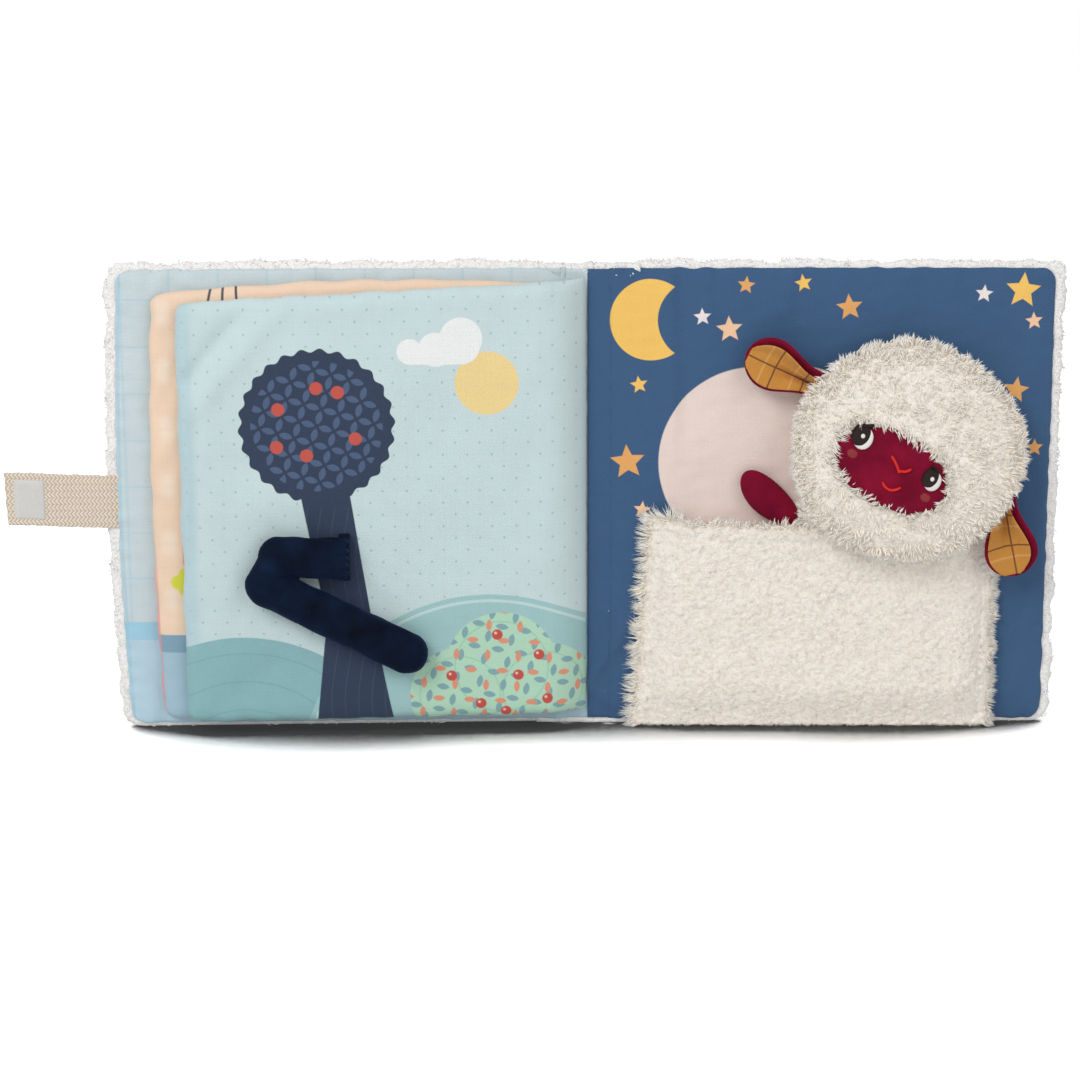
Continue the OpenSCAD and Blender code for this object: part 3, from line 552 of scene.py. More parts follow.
def floor_material(name):
    """Pale floor that the camera sees as white, apart from the shadow on it."""
    material, start = new_material(name)
    path = start.node("LightPath")
    seen = path | path.other("Is Glossy Ray") | path.other("Is Transmission Ray")
    matte = start.node("BsdfDiffuse", {}, {"Color": (0.82, 0.82, 0.82, 1)})
    # Painted shadow: for the camera, the floor's colour darkens near the book by ambient occlusion, over the
    # real shadow.
    open_to_sky = start.node("AmbientOcclusion", {"samples": 12}, {"Distance": 0.1}, out="AO")
    gap = start.maths("MINIMUM", (1 - open_to_sky) * 2, 1.0)
    level = (1 - start.maths("POWER", gap, 40.0) * 0.72 - gap * gap * 0.26) * 1.85 + 0.02
    bright = start.node("BsdfDiffuse", {}, {"Color": level})
    lift = start.node("Emission", {}, {"Color": (1, 1, 1, 1), "Strength": 0.02})
    both = start.node("AddShader", {}, {0: bright, 1: lift})
    shader = start.node("MixShader", {}, {0: seen, 1: matte, 2: both})
    start.node("OutputMaterial", {}, {"Surface": shader})
    return material


# Shapes


def smooth(t):
    t = np.clip(t, 0, 1)
    return t * t * (3 - 2 * t)


def mix(a, b, t):
    return a + (b - a) * t


def quarter_round(t):
    """Rises from 0 to 1 as a quarter of a circle does, and stays at 1."""
    return np.sqrt(1 - (1 - np.clip(t, 0, 1)) ** 2)


def waves(x, z, length, seed, count=10):
    """An uneven field from about -1 to 1, with bumps about one length apart."""
    rng = np.random.default_rng(seed)
    total = 0.0
    for _ in range(count):
        turn, phase = rng.uniform(0, 2 * math.pi, 2)
        pace = 2 * math.pi / (length * rng.uniform(0.75, 1.6))
        total = total + np.sin(pace * (x * math.cos(turn) + z * math.sin(turn)) + phase)
    return total / (1.3 * math.sqrt(count))


def curls(x, z, size, seed):
    """Rounded lumps like the curls of fleece, from 0 to about 1."""
    a, b = waves(x, z, size, seed, 14), waves(x, z, size * 1.25, seed + 1, 14)
    return np.clip(np.hypot(a, b), 0, 1.2)


def to_disc(u, v):
    """A place in the unit disc for a place in the unit square."""
    a, b = 2 * u - 1, 2 * v - 1
    return a * np.sqrt(1 - b * b / 2), b * np.sqrt(1 - a * a / 2)


def rounded(x, z, box, r, side):
    """Draws in the two corners on one side, -1 or 1, of a rectangle's grid to radius r."""
    x0, x1, z0, z1 = box
    cx, cz, hx, hz = (x0 + x1) / 2, (z0 + z1) / 2, (x1 - x0) / 2 - r, (z1 - z0) / 2 - r
    dx, dz = x - cx, z - cz
    ax = np.where(np.sign(dx) == side, np.maximum(0, np.abs(dx) - hx) / r, 0)
    az = np.maximum(0, np.abs(dz) - hz) / r
    far_x = np.where(np.sign(dx) == side, np.minimum(np.abs(dx), hx), np.abs(dx))
    return (
        cx + np.sign(dx) * (far_x + ax * np.sqrt(np.maximum(0, 1 - az * az / 2)) * r),
        cz + np.sign(dz) * (np.minimum(np.abs(dz), hz) + az * np.sqrt(np.maximum(0, 1 - ax * ax / 2)) * r),
    )


def puckers(x, z, side_d, top_d, length, seed):
    """Small gathers that run in from a sewn edge and fade."""
    beside = np.exp(-side_d / 6.5) * waves(x * 0.15, z, length, seed)
    below = np.exp(-top_d / 6.5) * waves(x, z * 0.15, length, seed + 1)
    return beside + below


def crease(x, z, a, b, width):
    """1 along the line from a to b, fading within its width and towards its ends."""
    ax, az = a
    lx, lz = b[0] - ax, b[1] - az
    length = math.hypot(lx, lz)
    along = ((x - ax) * lx + (z - az) * lz) / length
    beside = ((x - ax) * -lz + (z - az) * lx) / length
    past = np.maximum(0, np.abs(along - length / 2) - length * 0.3)
    return np.exp(-(beside / width) ** 2 - (past / (length * 0.22)) ** 2)


def lean(points, angle=LEAN):
    """Leans points that are square to the front cover about its hinge."""
    x, y = points[:, 0] + HINGE_X, points[:, 1] - HINGE_Y
    c, s = math.cos(angle), math.sin(angle)
    return np.stack([c * x - s * y - HINGE_X, s * x + c * y + HINGE_Y, points[:, 2]], 1)


def pad(nu, nv, place):
    """A closed pad: a grid with a front and a back, which place(u, v, front) sets in millimetres."""
    bm = bmesh.new()
    bmesh.ops.create_grid(bm, x_segments=nu, y_segments=nv, size=0.5)
    made = bmesh.ops.extrude_face_region(bm, geom=bm.faces[:], use_keep_orig=True)["geom"]
    bmesh.ops.translate(bm, vec=(0, 0, 1), verts=[g for g in made if isinstance(g, bmesh.types.BMVert)])
    u, v = grid_shares(bm)
    move(bm, np.stack(place(u, v, points_of(bm)[:, 2] > 0.5), 1))
    return bm


def grid_shares(bm):
    """Where each vertex of a grid lies across and along it, from 0 to 1."""
    at = points_of(bm)
    low, high = at.min(0), at.max(0)
    return [(at[:, k] - low[k]) / (high[k] - low[k]) for k in (0, 1)]


def move(bm, points):
    for vert, point in zip(bm.verts, points):
        vert.co = point
    bmesh.ops.recalc_face_normals(bm, faces=bm.faces[:])


def points_of(bm):
    return np.array([v.co[:] for v in bm.verts])


def piece(name, bm, material, body=None, replaces=(), leaned=False):
    """Makes a piece of the book from a bmesh in millimetres. A piece with no body is left unattached."""
    mesh = bpy.data.meshes.new(name)
    bm.to_mesh(mesh)
    bm.free()
    settle(mesh, leaned)
    return enlist(name, mesh, material, body, replaces)


def vectors_of(items, name):
    """One vector of each item of a mesh, in rows."""
    rows = np.zeros(len(items) * 3)
    items.foreach_get(name, rows)
    return rows.reshape(-1, 3)


def settle(mesh, leaned):
    """Leans a mesh if it lies on the left, and turns it from millimetres to metres."""
    at = vectors_of(mesh.vertices, "co")
    at = (lean(at) if leaned else at) * 0.001
    mesh.vertices.foreach_set("co", at.ravel())
    mesh.shade_smooth()
    mesh.update()


def enlist(name, mesh, material, body, replaces=()):
    obj = bpy.data.objects.new(name, mesh)
    scene.collection.objects.link(obj)
    mesh.materials.append(material)
    if body:
        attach(obj, body)
    if replaces:
        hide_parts(*replaces)
    return obj


# Pile


def lock_template():
    """One lock of pile: three-sided, bent halfway and closed at its tip, from Z 0 to 1."""
    bm = bmesh.new()
    made = bmesh.ops.create_cone(bm, cap_ends=True, segments=3, radius1=1.0, radius2=0.8, depth=0.5)
    bmesh.ops.translate(bm, vec=(0, 0, 0.25), verts=made["verts"])
    bm.faces.ensure_lookup_table()
    top = max(bm.faces, key=lambda f: f.calc_center_median().z)
    grown = bmesh.ops.extrude_face_region(bm, geom=[top])["geom"]
    tip = [g for g in grown if isinstance(g, bmesh.types.BMVert)]
    bmesh.ops.pointmerge(bm, verts=tip, merge_co=(0, 0, 1))
    bmesh.ops.triangulate(bm, faces=bm.faces[:])
    bmesh.ops.recalc_face_normals(bm, faces=bm.faces[:])
    bm.verts.index_update()
    verts = points_of(bm)
    faces = np.array([[v.index for v in f.verts] for f in bm.faces])
    bm.free()
    return verts, faces


LOCK_VERTS, LOCK_FACES = lock_template()


def unit(vectors):
    return vectors / np.maximum(np.linalg.norm(vectors, axis=1, keepdims=True), 1e-9)


def scatter(mesh, count, density, seed, leaned):
    """Random places and normals in millimetres on a mesh in metres, weighted by density(place, normal)."""
    mesh.calc_loop_triangles()
    at = vectors_of(mesh.vertices, "co") * 1000
    normals = vectors_of(mesh.vertex_normals, "vector")
    if leaned:
        normals = lean(at + normals, -LEAN) - lean(at, -LEAN)
        at = lean(at, -LEAN)
    tris = np.zeros(len(mesh.loop_triangles) * 3, int)
    mesh.loop_triangles.foreach_get("vertices", tris)
    tris = tris.reshape(-1, 3)
    a, b, c = (at[tris[:, k]] for k in range(3))
    facing = np.cross(b - a, c - a)
    weight = np.linalg.norm(facing, axis=1) * density((a + b + c) / 3, unit(facing))
    rng = np.random.default_rng(seed)
    chosen = rng.choice(len(tris), count, p=weight / weight.sum())
    s, t = rng.random(count), rng.random(count)
    flip = s + t > 1
    s, t = np.where(flip, 1 - s, s)[:, None], np.where(flip, 1 - t, t)[:, None]
    na, nb, nc = (normals[tris[chosen, k]] for k in range(3))
    places = a[chosen] + s * (b[chosen] - a[chosen]) + t * (c[chosen] - a[chosen])
    return places, unit(na + s * (nb - na) + t * (nc - na)), rng


def grow_pile(
    name, base, count, length, width, density, flow, seed,
    clump=8, rise=0.5, limit=None, longer=None, leaned=False,
):
    """Flat locks of pile on a base mesh, gathered in clumps, as one mesh. flow gives the way the tips lie."""
    places, normals, rng = scatter(base, count, density, seed, leaned)
    loose = rng.normal(size=(count, 3))
    reach = length * rng.uniform(0.72, 1.12, count)[:, None]
    if longer is not None:
        reach = reach * longer(places)[:, None]
    way = unit(normals * rise + flow(places, normals) + loose * 0.42)
    tips = places + way * reach
    heads = rng.choice(count, max(1, count // clump), replace=False)
    tree = KDTree(len(heads))
    for i, h in enumerate(heads):
        tree.insert(places[h], i)
    tree.balance()
    near = np.array([tree.find(p)[1] for p in places])
    middle = tips[heads] + rng.normal(size=(len(heads), 3)) * length * 0.12
    tips = tips + (middle[near] - tips) * (0.6 * rng.uniform(0.5, 1.0, count)[:, None])
    lock = np.clip(rng.normal(0.5, 0.22, len(heads))[near] + rng.normal(0, 0.12, count), 0, 1)
    bent = places + normals * reach * 0.5 + loose * length * 0.08
    if limit is not None:
        tips, bent = limit(tips), limit(bent)
    lock_x, lock_y, height = (LOCK_VERTS[:, k][None, :, None] for k in range(3))
    start, middle_at, end = (p[:, None, :] for p in (places - normals * 0.4, bent, tips))
    spine = start * (1 - height) ** 2 + middle_at * 2 * height * (1 - height) + end * height ** 2
    along = unit(tips - places)
    ahead = np.where(normals[:, 1] > 0.5, 1.0, -1.0)
    outward = normals + np.stack([loose[:, 0] * 0.3, ahead, loose[:, 2] * 0.3], 1)
    side = unit(np.cross(along, outward))
    other = np.cross(along, side) * 0.5
    thick = width * rng.uniform(0.75, 1.3, count)[:, None, None] / 2
    radial = side[:, None, :] * lock_x + other[:, None, :] * lock_y
    verts = (spine + radial * thick).reshape(-1, 3)
    total = len(LOCK_VERTS)
    faces = (LOCK_FACES[None] + (np.arange(count) * total)[:, None, None]).reshape(-1, 3)
    mesh = bpy.data.meshes.new(name)
    mesh.from_pydata((lean(verts) if leaned else verts) * 0.001, [], faces)
    for key, values in (("pile", np.tile(LOCK_VERTS[:, 2], count)), ("lock", np.repeat(lock, total))):
        mesh.attributes.new(key, "FLOAT", "POINT").data.foreach_set("value", values.astype(np.float32))
    mesh.shade_smooth()
    return mesh


def floor_limit(points):
    """Keeps pile off the floor that the book stands on."""
    points = points.copy()
    points[:, 2] = np.maximum(points[:, 2], 0.25)
    return points


# Covers


def mirrored(points, side):
    """Turns a shape drawn for the back cover, on the right, into the front cover's."""
    x, y, z = points
    return (x * side, y, z)


def bulge(z, side):
    """How far the fore edge of the front cover bows out."""
    return 3.2 * np.sin(math.pi * np.clip(z / PANEL_TOP, 0, 1)) if side < 0 else z * 0


# Folds of each lining: two ends, a width, and a height that is negative for a valley
LINING_FOLDS = {
    -1: (
        ((196, 222), (203, 196), 3.5, 0.9), ((120, 224), (128, 208), 3.5, 0.8),
        ((70, 224), (64, 208), 3.5, -0.8),
    ),
    1: (
        ((21, 54), (1, 22), 3.0, -1.5), ((23, 44), (4, 14), 2.6, 0.6), ((-4, 24), (14, 8), 2.8, -1.3),
        ((38, 228), (41, 138), 3.0, -1.3), ((52, 224), (58, 200), 3.5, -1.2),
        ((96, 224), (92, 200), 3.5, -1.1), ((214, 64), (206, 14), 4.0, -1.2),
        ((44, 228), (48, 150), 2.6, 0.6), ((150, 224), (160, 206), 4.0, -0.9),
    ),
}


def folded(x, z, side):
    """Height of a lining's folds."""
    return sum(deep * crease(x, z, a, b, wide) for a, b, wide, deep in LINING_FOLDS[side])


def lining_place(side, seed):
    """Lining drawn over wadding: puckered where it is sewn to the fleece, with soft folds in its field."""

    def place(u, v, front):
        x, z = mix(HINGE_X + 0.3, PANEL_EDGE, u), mix(PANEL_FOOT, PANEL_TOP, v)
        side_d = PANEL_EDGE - x
        top_d = np.minimum(z - PANEL_FOOT, PANEL_TOP - z)
        d = np.minimum(side_d, top_d)
        gather = puckers(x, z, side_d, top_d, 8.5, seed)
        x, z = rounded(x, z, (HINGE_X + 0.3, PANEL_EDGE, PANEL_FOOT, PANEL_TOP), 7, 1)
        rim = np.exp(-d / 4.5)
        field = FACE_Y + 0.25 + 1.5 * rim + 0.85 * gather
        field = field + 0.4 * waves(x, z, 30, seed + 5) * (1 - rim) + 0.16 * waves(x, z, 9, seed + 9)
        hinge = smooth((np.abs(x) - HINGE_X - 0.3) / 5)
        field = mix(-2.85, field, hinge) + folded(x, z, side)
        back = mix(-2.2, 0.6, smooth((np.abs(x) - HINGE_X - 3) / 14)) - 1.9 * rim * hinge
        edge = 0.35 * waves(x, z, 12, seed + 3) * np.exp(-d / 5)
        x = x + edge * (side_d < top_d)
        z = z + edge * (side_d >= top_d) * np.where(z > 100, 1, 0)
        x = x + bulge(z, side) * (x / PANEL_EDGE) ** 2
        return mirrored((x, np.where(front, field, back), z), side)

    return place


def fleece_place(side, seed):
    """The fleece of a cover: curls on its back and round its rim, which stands out past the lining."""

    def place(u, v, front):
        x0, x1, z0, z1 = HINGE_X + 13, FLEECE_EDGE - 1.2, 0.9, FLEECE_TOP + 0.4
        x, z = mix(x0, x1, u), mix(z0, z1, v)
        side_d, top_d = x1 - x, np.minimum(z - z0, z1 - z)
        x, z = rounded(x, z, (x0, x1, z0, z1), 9, 1)
        d = np.minimum(side_d, top_d)
        round_off = quarter_round(d / 4.5)
        knobs = curls(x, z, 4.2, seed) + 0.6 * waves(x, z, 13, seed + 2)
        back = mix(0.4, 4.2, round_off) + 1.1 * knobs * round_off
        edge = (0.9 * curls(x, z, 5.0, seed + 4) - 0.6 + 0.9 * waves(x, z, 18, seed + 6)) * np.exp(-d / 5)
        x = x + np.where(side_d < 8, edge, 0)
        z = z + np.where((top_d < 8) & (z > 100), edge, 0)
        x = x + bulge(z, side) * (x / PANEL_EDGE) ** 2
        return mirrored((x, np.where(front, -1.1 + 1.4 * (1 - round_off), back), z), side)

    return place


def fleece_density(side):
    def density(at, normals):
        x, z = at[:, 0] * side, at[:, 2]
        past = np.maximum(x - PANEL_EDGE - bulge(z, side), z - PANEL_TOP)
        strap = (side < 0) & (np.abs(z - STRAP_Z) < 15) & (normals[:, 1] < 0.3)
        rim = smooth((past - 0.4) / 2.5)
        low = smooth((7 - z) / 4) * (normals[:, 1] > 0)
        return np.where(normals[:, 1] > 0.3, 0.25, 0.0) + np.where(strap, 0, 0.9 * rim) + low

    return density


def rim_flow(side):
    """The pile stands out from the rim and lies about on the back."""

    def flow(at, normals):
        x, z = at[:, 0] * side, at[:, 2]
        out = np.zeros_like(at)
        out[:, 0] = side * 0.7 * smooth((x - (FLEECE_EDGE - 10)) / 8)
        out[:, 2] = 0.7 * smooth((z - (FLEECE_TOP - 10)) / 8) - 0.3 * smooth((10 - z) / 8)
        swirl = waves(x, z, 6, 71)
        out[:, 0] += 0.9 * np.cos(swirl * 5)
        out[:, 2] += 0.9 * np.sin(swirl * 5)
        return out

    return flow


grey_pile = pile_material("cover_pile", "#fffefc", "#ffffff", 0.3, 0.16)
grey_backing = backing_material("cover_backing", "#fbf9f7", "#e9e5e1", 1.7)
night_cotton = cotton("night_cotton", paint_night)
front_cotton = cotton("front_lining_cotton", paint_front_lining, True)

COVERS = (
    ("front_cover", -1, front_cotton, "blue_lining", 11, (
        "front_cover_lining", "front_cover_wadding", "front_lining_check", "front_lining_band")),
    ("back_cover", 1, night_cotton, "night_blue", 31, (
        "night_lining", "back_cover_wadding", "moon_print", "yellow_stars", "orange_stars", "peach_stars",
        "white_stars", "pillow_print")),
)


def make_cover(body, side, cloth, slot, seed, nodes):
    leaned = side < 0
    panel = pad(120, 128, lining_place(side, seed))
    lining = piece(body + "_lining_panel", panel, cloth, body, nodes, leaned)
    backing = piece(
        body + "_fleece_backing", pad(128, 134, fleece_place(side, seed + 50)), grey_backing,
        body, (body + "_fleece",), leaned,
    )
    pile = grow_pile(
        body + "_pile", backing.data, 4200, 2.2, 0.9, fleece_density(side), rim_flow(side), seed + 90,
        clump=6, rise=0.25, limit=floor_limit, leaned=leaned,
    )
    enlist(body + "_fleece_pile", pile, grey_pile, body)


for cover in COVERS:
    make_cover(*cover)


# Spine and gutter, between the binding and each cover


def gutter_place(side):
    """Lining that runs from the middle of the spine and under the edge of a cover's lining."""

    def place(u, v, front):
        x = mix(-1.0 + side, HINGE_X + 3.2, u)
        z = mix(PANEL_FOOT + 0.4, PANEL_TOP - 0.4, v)
        y = HINGE_Y + 0.05 - 0.25 * side * (x < 2) + 0.7 * smooth((x - HINGE_X - 0.8) / 2.4)
        y = y + 0.12 * waves(x, z, 7, 5 + side)
        return mirrored((x, np.where(front, y + 0.8 * np.minimum(0.3, folded(x, z, side)), y + 0.4), z), side)

    return place


def spine_place(side):
    """Fleece backing from the middle of the spine round to a cover's back."""

    def place(u, v, front):
        x = mix(-3.0, HINGE_X + 15, u)
        z = mix(0.9, FLEECE_TOP - 0.8, v) + 0.6 * waves(x, x * 0, 9, 66 + side) * (v > 0.99)
        rise = smooth((x - HINGE_X - 0.5) / 14) * 3.6 + smooth((HINGE_X - 0.5 - x) / 7) * 2.4
        lumps = 0.9 * curls(x, z, 4.2, 61 + side)
        back = -1.9 + rise + lumps * smooth(rise)
        under = 0.35 * (side > 0) * smooth((5.5 - x) / 2)
        return mirrored((x, np.where(front, -2.25 + under, back - under), z - under), side)

    return place


def spine_flow(at, normals):
    """The pile stands up along the spine's top edge."""
    out = np.zeros_like(at)
    out[:, 2] = smooth((at[:, 2] - (FLEECE_TOP - 10)) / 6)
    return out


def make_spine():
    for body, side, cloth, slot, label in (
        ("front_cover", -1, front_cotton, "blue_lining", "left"),
        ("back_cover", 1, night_cotton, "night_blue", "right"),
    ):
        strip_bm = pad(20, 140, gutter_place(side))
        gutter = piece(label + "_gutter_lining", strip_bm, cloth, None, ("spine_lining",))
        side * 0.006
        side * 0.0145
        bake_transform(gutter)
        backing = piece(
            label + "_spine_backing", pad(22, 134, spine_place(side)), grey_backing,
            None, ("spine_fleece",),
        )
        pile = grow_pile(
            label + "_spine_pile_mesh", backing.data, 900, 2.6, 0.9,
            lambda at, n: np.where((n[:, 1] > 0) | (at[:, 2] > FLEECE_TOP - 8), 1.0, 0.0),
            spine_flow, 77 + side, limit=floor_limit,
        )
        pile = enlist(label + "_spine_pile", pile, grey_pile, None)
        for strip_piece in (backing, pile):
            side * 0.006
            side * 0.017
            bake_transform(strip_piece)


make_spine()


# Strap


def strap_rise(x):
    """The strap's free end stands a little higher than where it is sewn in."""
    return 0.4 + 2.0 * smooth((-222 - x) / 60)


def strap_place(u, v, front):
    """Herringbone webbing, sewn in at its right end."""
    x, z = mix(-277.3, -221.8, u), mix(99.8, 125.2, v)
    across = z - STRAP_Z
    edge = smooth((12.7 - np.abs(across)) / 1.2)
    thick = 0.62 + 0.12 * np.sin(x * 2 * math.pi / YARN) * edge + 0.1 * edge
    sag = 0.35 * np.sin((x + 277) / 50 * math.pi) + 0.25 * waves(x, z, 30, 8)
    z = z + strap_rise(x) + 0.25 * waves(x, x * 0, 6, 9) * smooth((np.abs(across) - 11) / 1.5)
    x = x + 0.4 * waves(z, z * 0, 5, 19) * (u < 0.004) + 0.06 * (STRAP_Z - z) * smooth((-262 - x) / 15)
    y = -1.65 + sag * smooth((-228 - x) / 10) + 0.8 * smooth((x + 229) / 7)
    return x, np.where(front, y - thick, y + thick), z


def patch_place(x0, x1, z0, z1, y, thick, seed):
    def place(u, v, front):
        x, z = mix(x0, x1, u), mix(z0, z1, v)
        d = np.minimum(np.minimum(x - x0, x1 - x), np.minimum(z - z0, z1 - z))
        rim = 1 - np.exp(-d / 0.5)
        stitched = 0.22 * np.exp(-((d - 1.4) / 0.35) ** 2) * (0.6 + 0.4 * np.sin((x + z) * 3.1))
        z = z + (strap_rise(x) if x0 < 0 else 0)
        loops = 0.16 * waves(x, z, 0.9, seed, 14) * smooth((d - 1.8) / 0.6)
        return x, np.where(front, y - thick * rim + stitched - loops, y), z

    return place


webbing = webbing_material("strap_webbing")
tape = tape_material("fastening_tape")
strap = piece(
    "closure_webbing", pad(124, 50, strap_place), webbing, "front_cover", ("closure_strap",), True)
piece(
    "strap_loop_patch", pad(34, 48, patch_place(-273.6, -259.0, 102.9, 122.1, -2.1, 1.2, 3)), tape,
    "front_cover", ("strap_fastening_patch",), True,
)
piece(
    "cover_hook_patch", pad(34, 48, patch_place(182.5, 196.5, 102.2, 122.8, 7.4, -1.6, 4)), tape,
    "back_cover", ("cover_fastening_patch",),
)


# Leaves


def leaf_place(x0, width, back, front_y, sewn_y, seed, marks, feet, tops, crown, bow):
    """A padded leaf that thins to its sewn edge. marks are its folds, as in LINING_FOLDS."""
    middle, half = (back + front_y) / 2, (back - front_y) / 2

    def place(u, v, front):
        far = x0 - width
        foot = mix(feet[0], feet[1], smooth(u * 1.6))
        height = mix(tops[0], tops[1], u) + crown * np.sin(math.pi * u) - foot
        x, z = mix(x0, far, u), foot + v * height
        side_d, top_d = x - far, np.minimum(v, 1 - v) * height
        gather = puckers(x, z, side_d, top_d, 12, seed)
        x, z = rounded(x, z, (far, x0, foot, foot + height), 6, -1)
        swell = 1.0
        for d in (side_d, v * height, (1 - v) * height):
            swell = swell * quarter_round(d / 8.5) ** 0.8
        sewn = 1 - (1 - np.clip((x0 - x) / 26, 0, 1)) ** 2.6
        core = mix(sewn_y, middle, sewn)
        thick = mix(0.75, half, sewn) * swell * np.where(front, 1, -1) * 0.95
        thick = thick + np.where(front, 0.3, -0.3)
        relief = 0.42 * gather + 0.4 * waves(x, z, 38, seed + 3) + 0.18 * waves(x, z, 12, seed + 4)
        for a, b, wide, deep in marks:
            relief = relief + deep * crease(x, z, a, b, wide)
        inside = smooth(np.minimum(side_d, top_d) / 3 + 0.2)
        y = core - thick + relief * np.where(front, 1, 0.4) * (0.25 + 0.75 * sewn) * inside
        edge = 0.5 * waves(x, z, 22, seed + 6)
        x = x + edge * (side_d < 4)
        z = z + edge * (top_d < 4)
        return x - bow * u ** 2 * np.sin(math.pi * v), y, z

    return place


page_cotton = cotton("page_cotton", paint_page, True)
peach_cotton = cotton("peach_cotton", paint_peach, True)

LAST_LEAF_FOLDS = (
    ((-193, 168), (-162, 205), 4.0, 2.2), ((-192, 152), (-146, 206), 5.5, -1.7),
    ((-186, 90), (-183, 178), 3.0, 0.9), ((-150, 196), (-60, 206), 7.0, 0.6),
    ((-176, 60), (-150, 130), 7.0, -0.5), ((-60, 60), (-20, 90), 9.0, -0.5),
    ((-178, 12), (-150, 40), 6.0, 0.8), ((-30, 110), (-18, 190), 6.0, 0.6),
    ((-100, 196), (-96, 120), 9.0, -0.5),
)
FIRST_LEAF_FOLDS = (
    ((-200, 30), (-198, 190), 4.0, 0.35), ((-206, 150), (-190, 180), 3.0, 0.8),
    ((-206, 130), (-190, 150), 3.0, -0.6),
)

last_leaf = piece(
    "last_padded_leaf", pad(96, 106, leaf_place(
        -1, 192, -12.3, -19.5, -5.3, 3, LAST_LEAF_FOLDS, (9.8, 8.2), (220, 210), 0, 0)), page_cotton,
    "binding",
    ("page_leaves", "aqua_page", "last_leaf_reverse", "page_tree", "page_hills", "page_bush", "page_sun",
     "page_berries", "page_cloud"),
    True,
)
first_leaf = piece(
    "first_padded_leaf", pad(90, 96, leaf_place(
        -9, 196, -5.0, -11.7, -5.6, 23, FIRST_LEAF_FOLDS, (9, 7.2), (216.5, 213.5), 4.5, 2.4)), peach_cotton,
    "binding", ("page_leaves", "peach_page", "first_leaf_reverse", "peach_page_band"), True,
)


# Velvet arm


def capsule(bm, a, b, ra, rb, flat):
    """Adds a rounded tube from a to b on the page, each an X and a Z, flattened in depth."""
    made = bmesh.ops.create_uvsphere(bm, u_segments=32, v_segments=20, radius=1.0)["verts"]
    (ax, az), (bx, bz) = a, b
    length = math.hypot(bx - ax, bz - az)
    ux, uz = (bx - ax) / length, (bz - az) / length
    for vert in made:
        s, t, w = vert.co.x, vert.co.y, vert.co.z
        cx, cz, r = (bx, bz, rb) if w > 0 else (ax, az, ra)
        vert.co = (cx + ux * w * r - uz * s * r, ARM_Y + t * r * flat, cz + uz * w * r + ux * s * r)


def fused(name, bm, voxel):
    """The outer skin of overlapping closed shapes, as one closed mesh in millimetres."""
    rough = bpy.data.meshes.new(name + "_rough")
    bm.to_mesh(rough)
    bm.free()
    obj = bpy.data.objects.new(name + "_rough", rough)
    scene.collection.objects.link(obj)
    remesh = obj.modifiers.new("skin", "REMESH")
    remesh.mode = "VOXEL"
    remesh.voxel_size = voxel
    skin = bpy.data.meshes.new_from_object(obj.evaluated_get(bpy.context.evaluated_depsgraph_get()))
    bpy.data.objects.remove(obj)
    bm = bmesh.new()
    bm.from_mesh(skin)
    for _ in range(3):
        bmesh.ops.smooth_vert(
            bm, verts=bm.verts[:], factor=0.5, use_axis_x=True, use_axis_y=True, use_axis_z=True)
    return bm


SLEEVE_END = -114.5
# How fast the ribs of the gathered sleeve follow each other, in radians a millimetre
RIB_PACE = 1.75


def make_arm():
    bm = bmesh.new()
    capsule(bm, (-118, 90.0), (-147, 91.2), 10.2, 9.6, 0.58)
    capsule(bm, (-146.5, 92.2), (-153.5, 77.5), 8.2, 9.6, 0.7)
    capsule(bm, (-152.5, 76.5), (-87.2, 43.6), 9.8, 10.3, 0.68)
    bm = fused("velvet_arm", bm, 0.75)
    at = points_of(bm)
    x, y, z = at.T
    out = np.sign(y - ARM_Y)
    near = np.exp(-(((x + 149) / 11) ** 2 + ((z - 84) / 13) ** 2))
    turn = np.arctan2(z - 83, x + 138)
    folds = 0.75 * near * np.sin(turn * 9 + 0.8) * smooth((-138 - x) / 6 + 0.8)
    gathered = np.exp(-np.maximum(0, -108 - x) / 9.0)
    ribs = 0.9 * gathered * np.sin(z * RIB_PACE) * (z > 70)
    slack = 0.45 * waves(x, z, 17, 91) + 0.3 * waves(x, z, 8, 92)
    y = y + out * (folds + ribs * (x > -132) + slack)
    z = z + 0.35 * waves(x, y, 12, 94)
    y = np.minimum(y, -20.0)
    x = np.where(z > 72, np.minimum(x, SLEEVE_END + 0.8 * np.sin(z * RIB_PACE)), x)
    move(bm, np.stack([x, y, z], 1))
    navy = velvet("navy_velvet", "#0e1e37", "#040a18", "#3f5a8c", 0.7)
    arm = piece("velvet_sleeve", bm, navy, "binding", ("velvet_arm",), True)


def shoulder_place(u, v, front):
    """The sleeve's gathered end, sewn flat on the page."""
    x, z = mix(-118.5, -113.6, u), mix(77.8, 100.4, v)
    ribs = 0.45 * np.sin(z * RIB_PACE + u * 2)
    dome = np.sqrt(np.clip(1 - np.abs((z - 89.1) / 11.3) ** 3, 0.02, 1))
    high = mix(12.0, 8.5, u ** 2) * dome
    return x, np.where(front, -19.7 - high - ribs, -19.5), z


make_arm()
piece(
    "sleeve_gathers", pad(12, 60, shoulder_place),
    velvet("shoulder_velvet", "#0e1c34", "#060d1e", "#101c34", 0.2),
    "binding", ("arm_shoulder",), True,
)


# Pocket

POCKET_LEFT, POCKET_RIGHT, POCKET_TOP, POCKET_LEAN = 21.0, 196.5, 103.0, 8.0
POCKET_FOOT = 1.8
HEAD_X, HEAD_Z, HEAD_W, HEAD_H = 151.0, 140.0, 114.0, 109.0


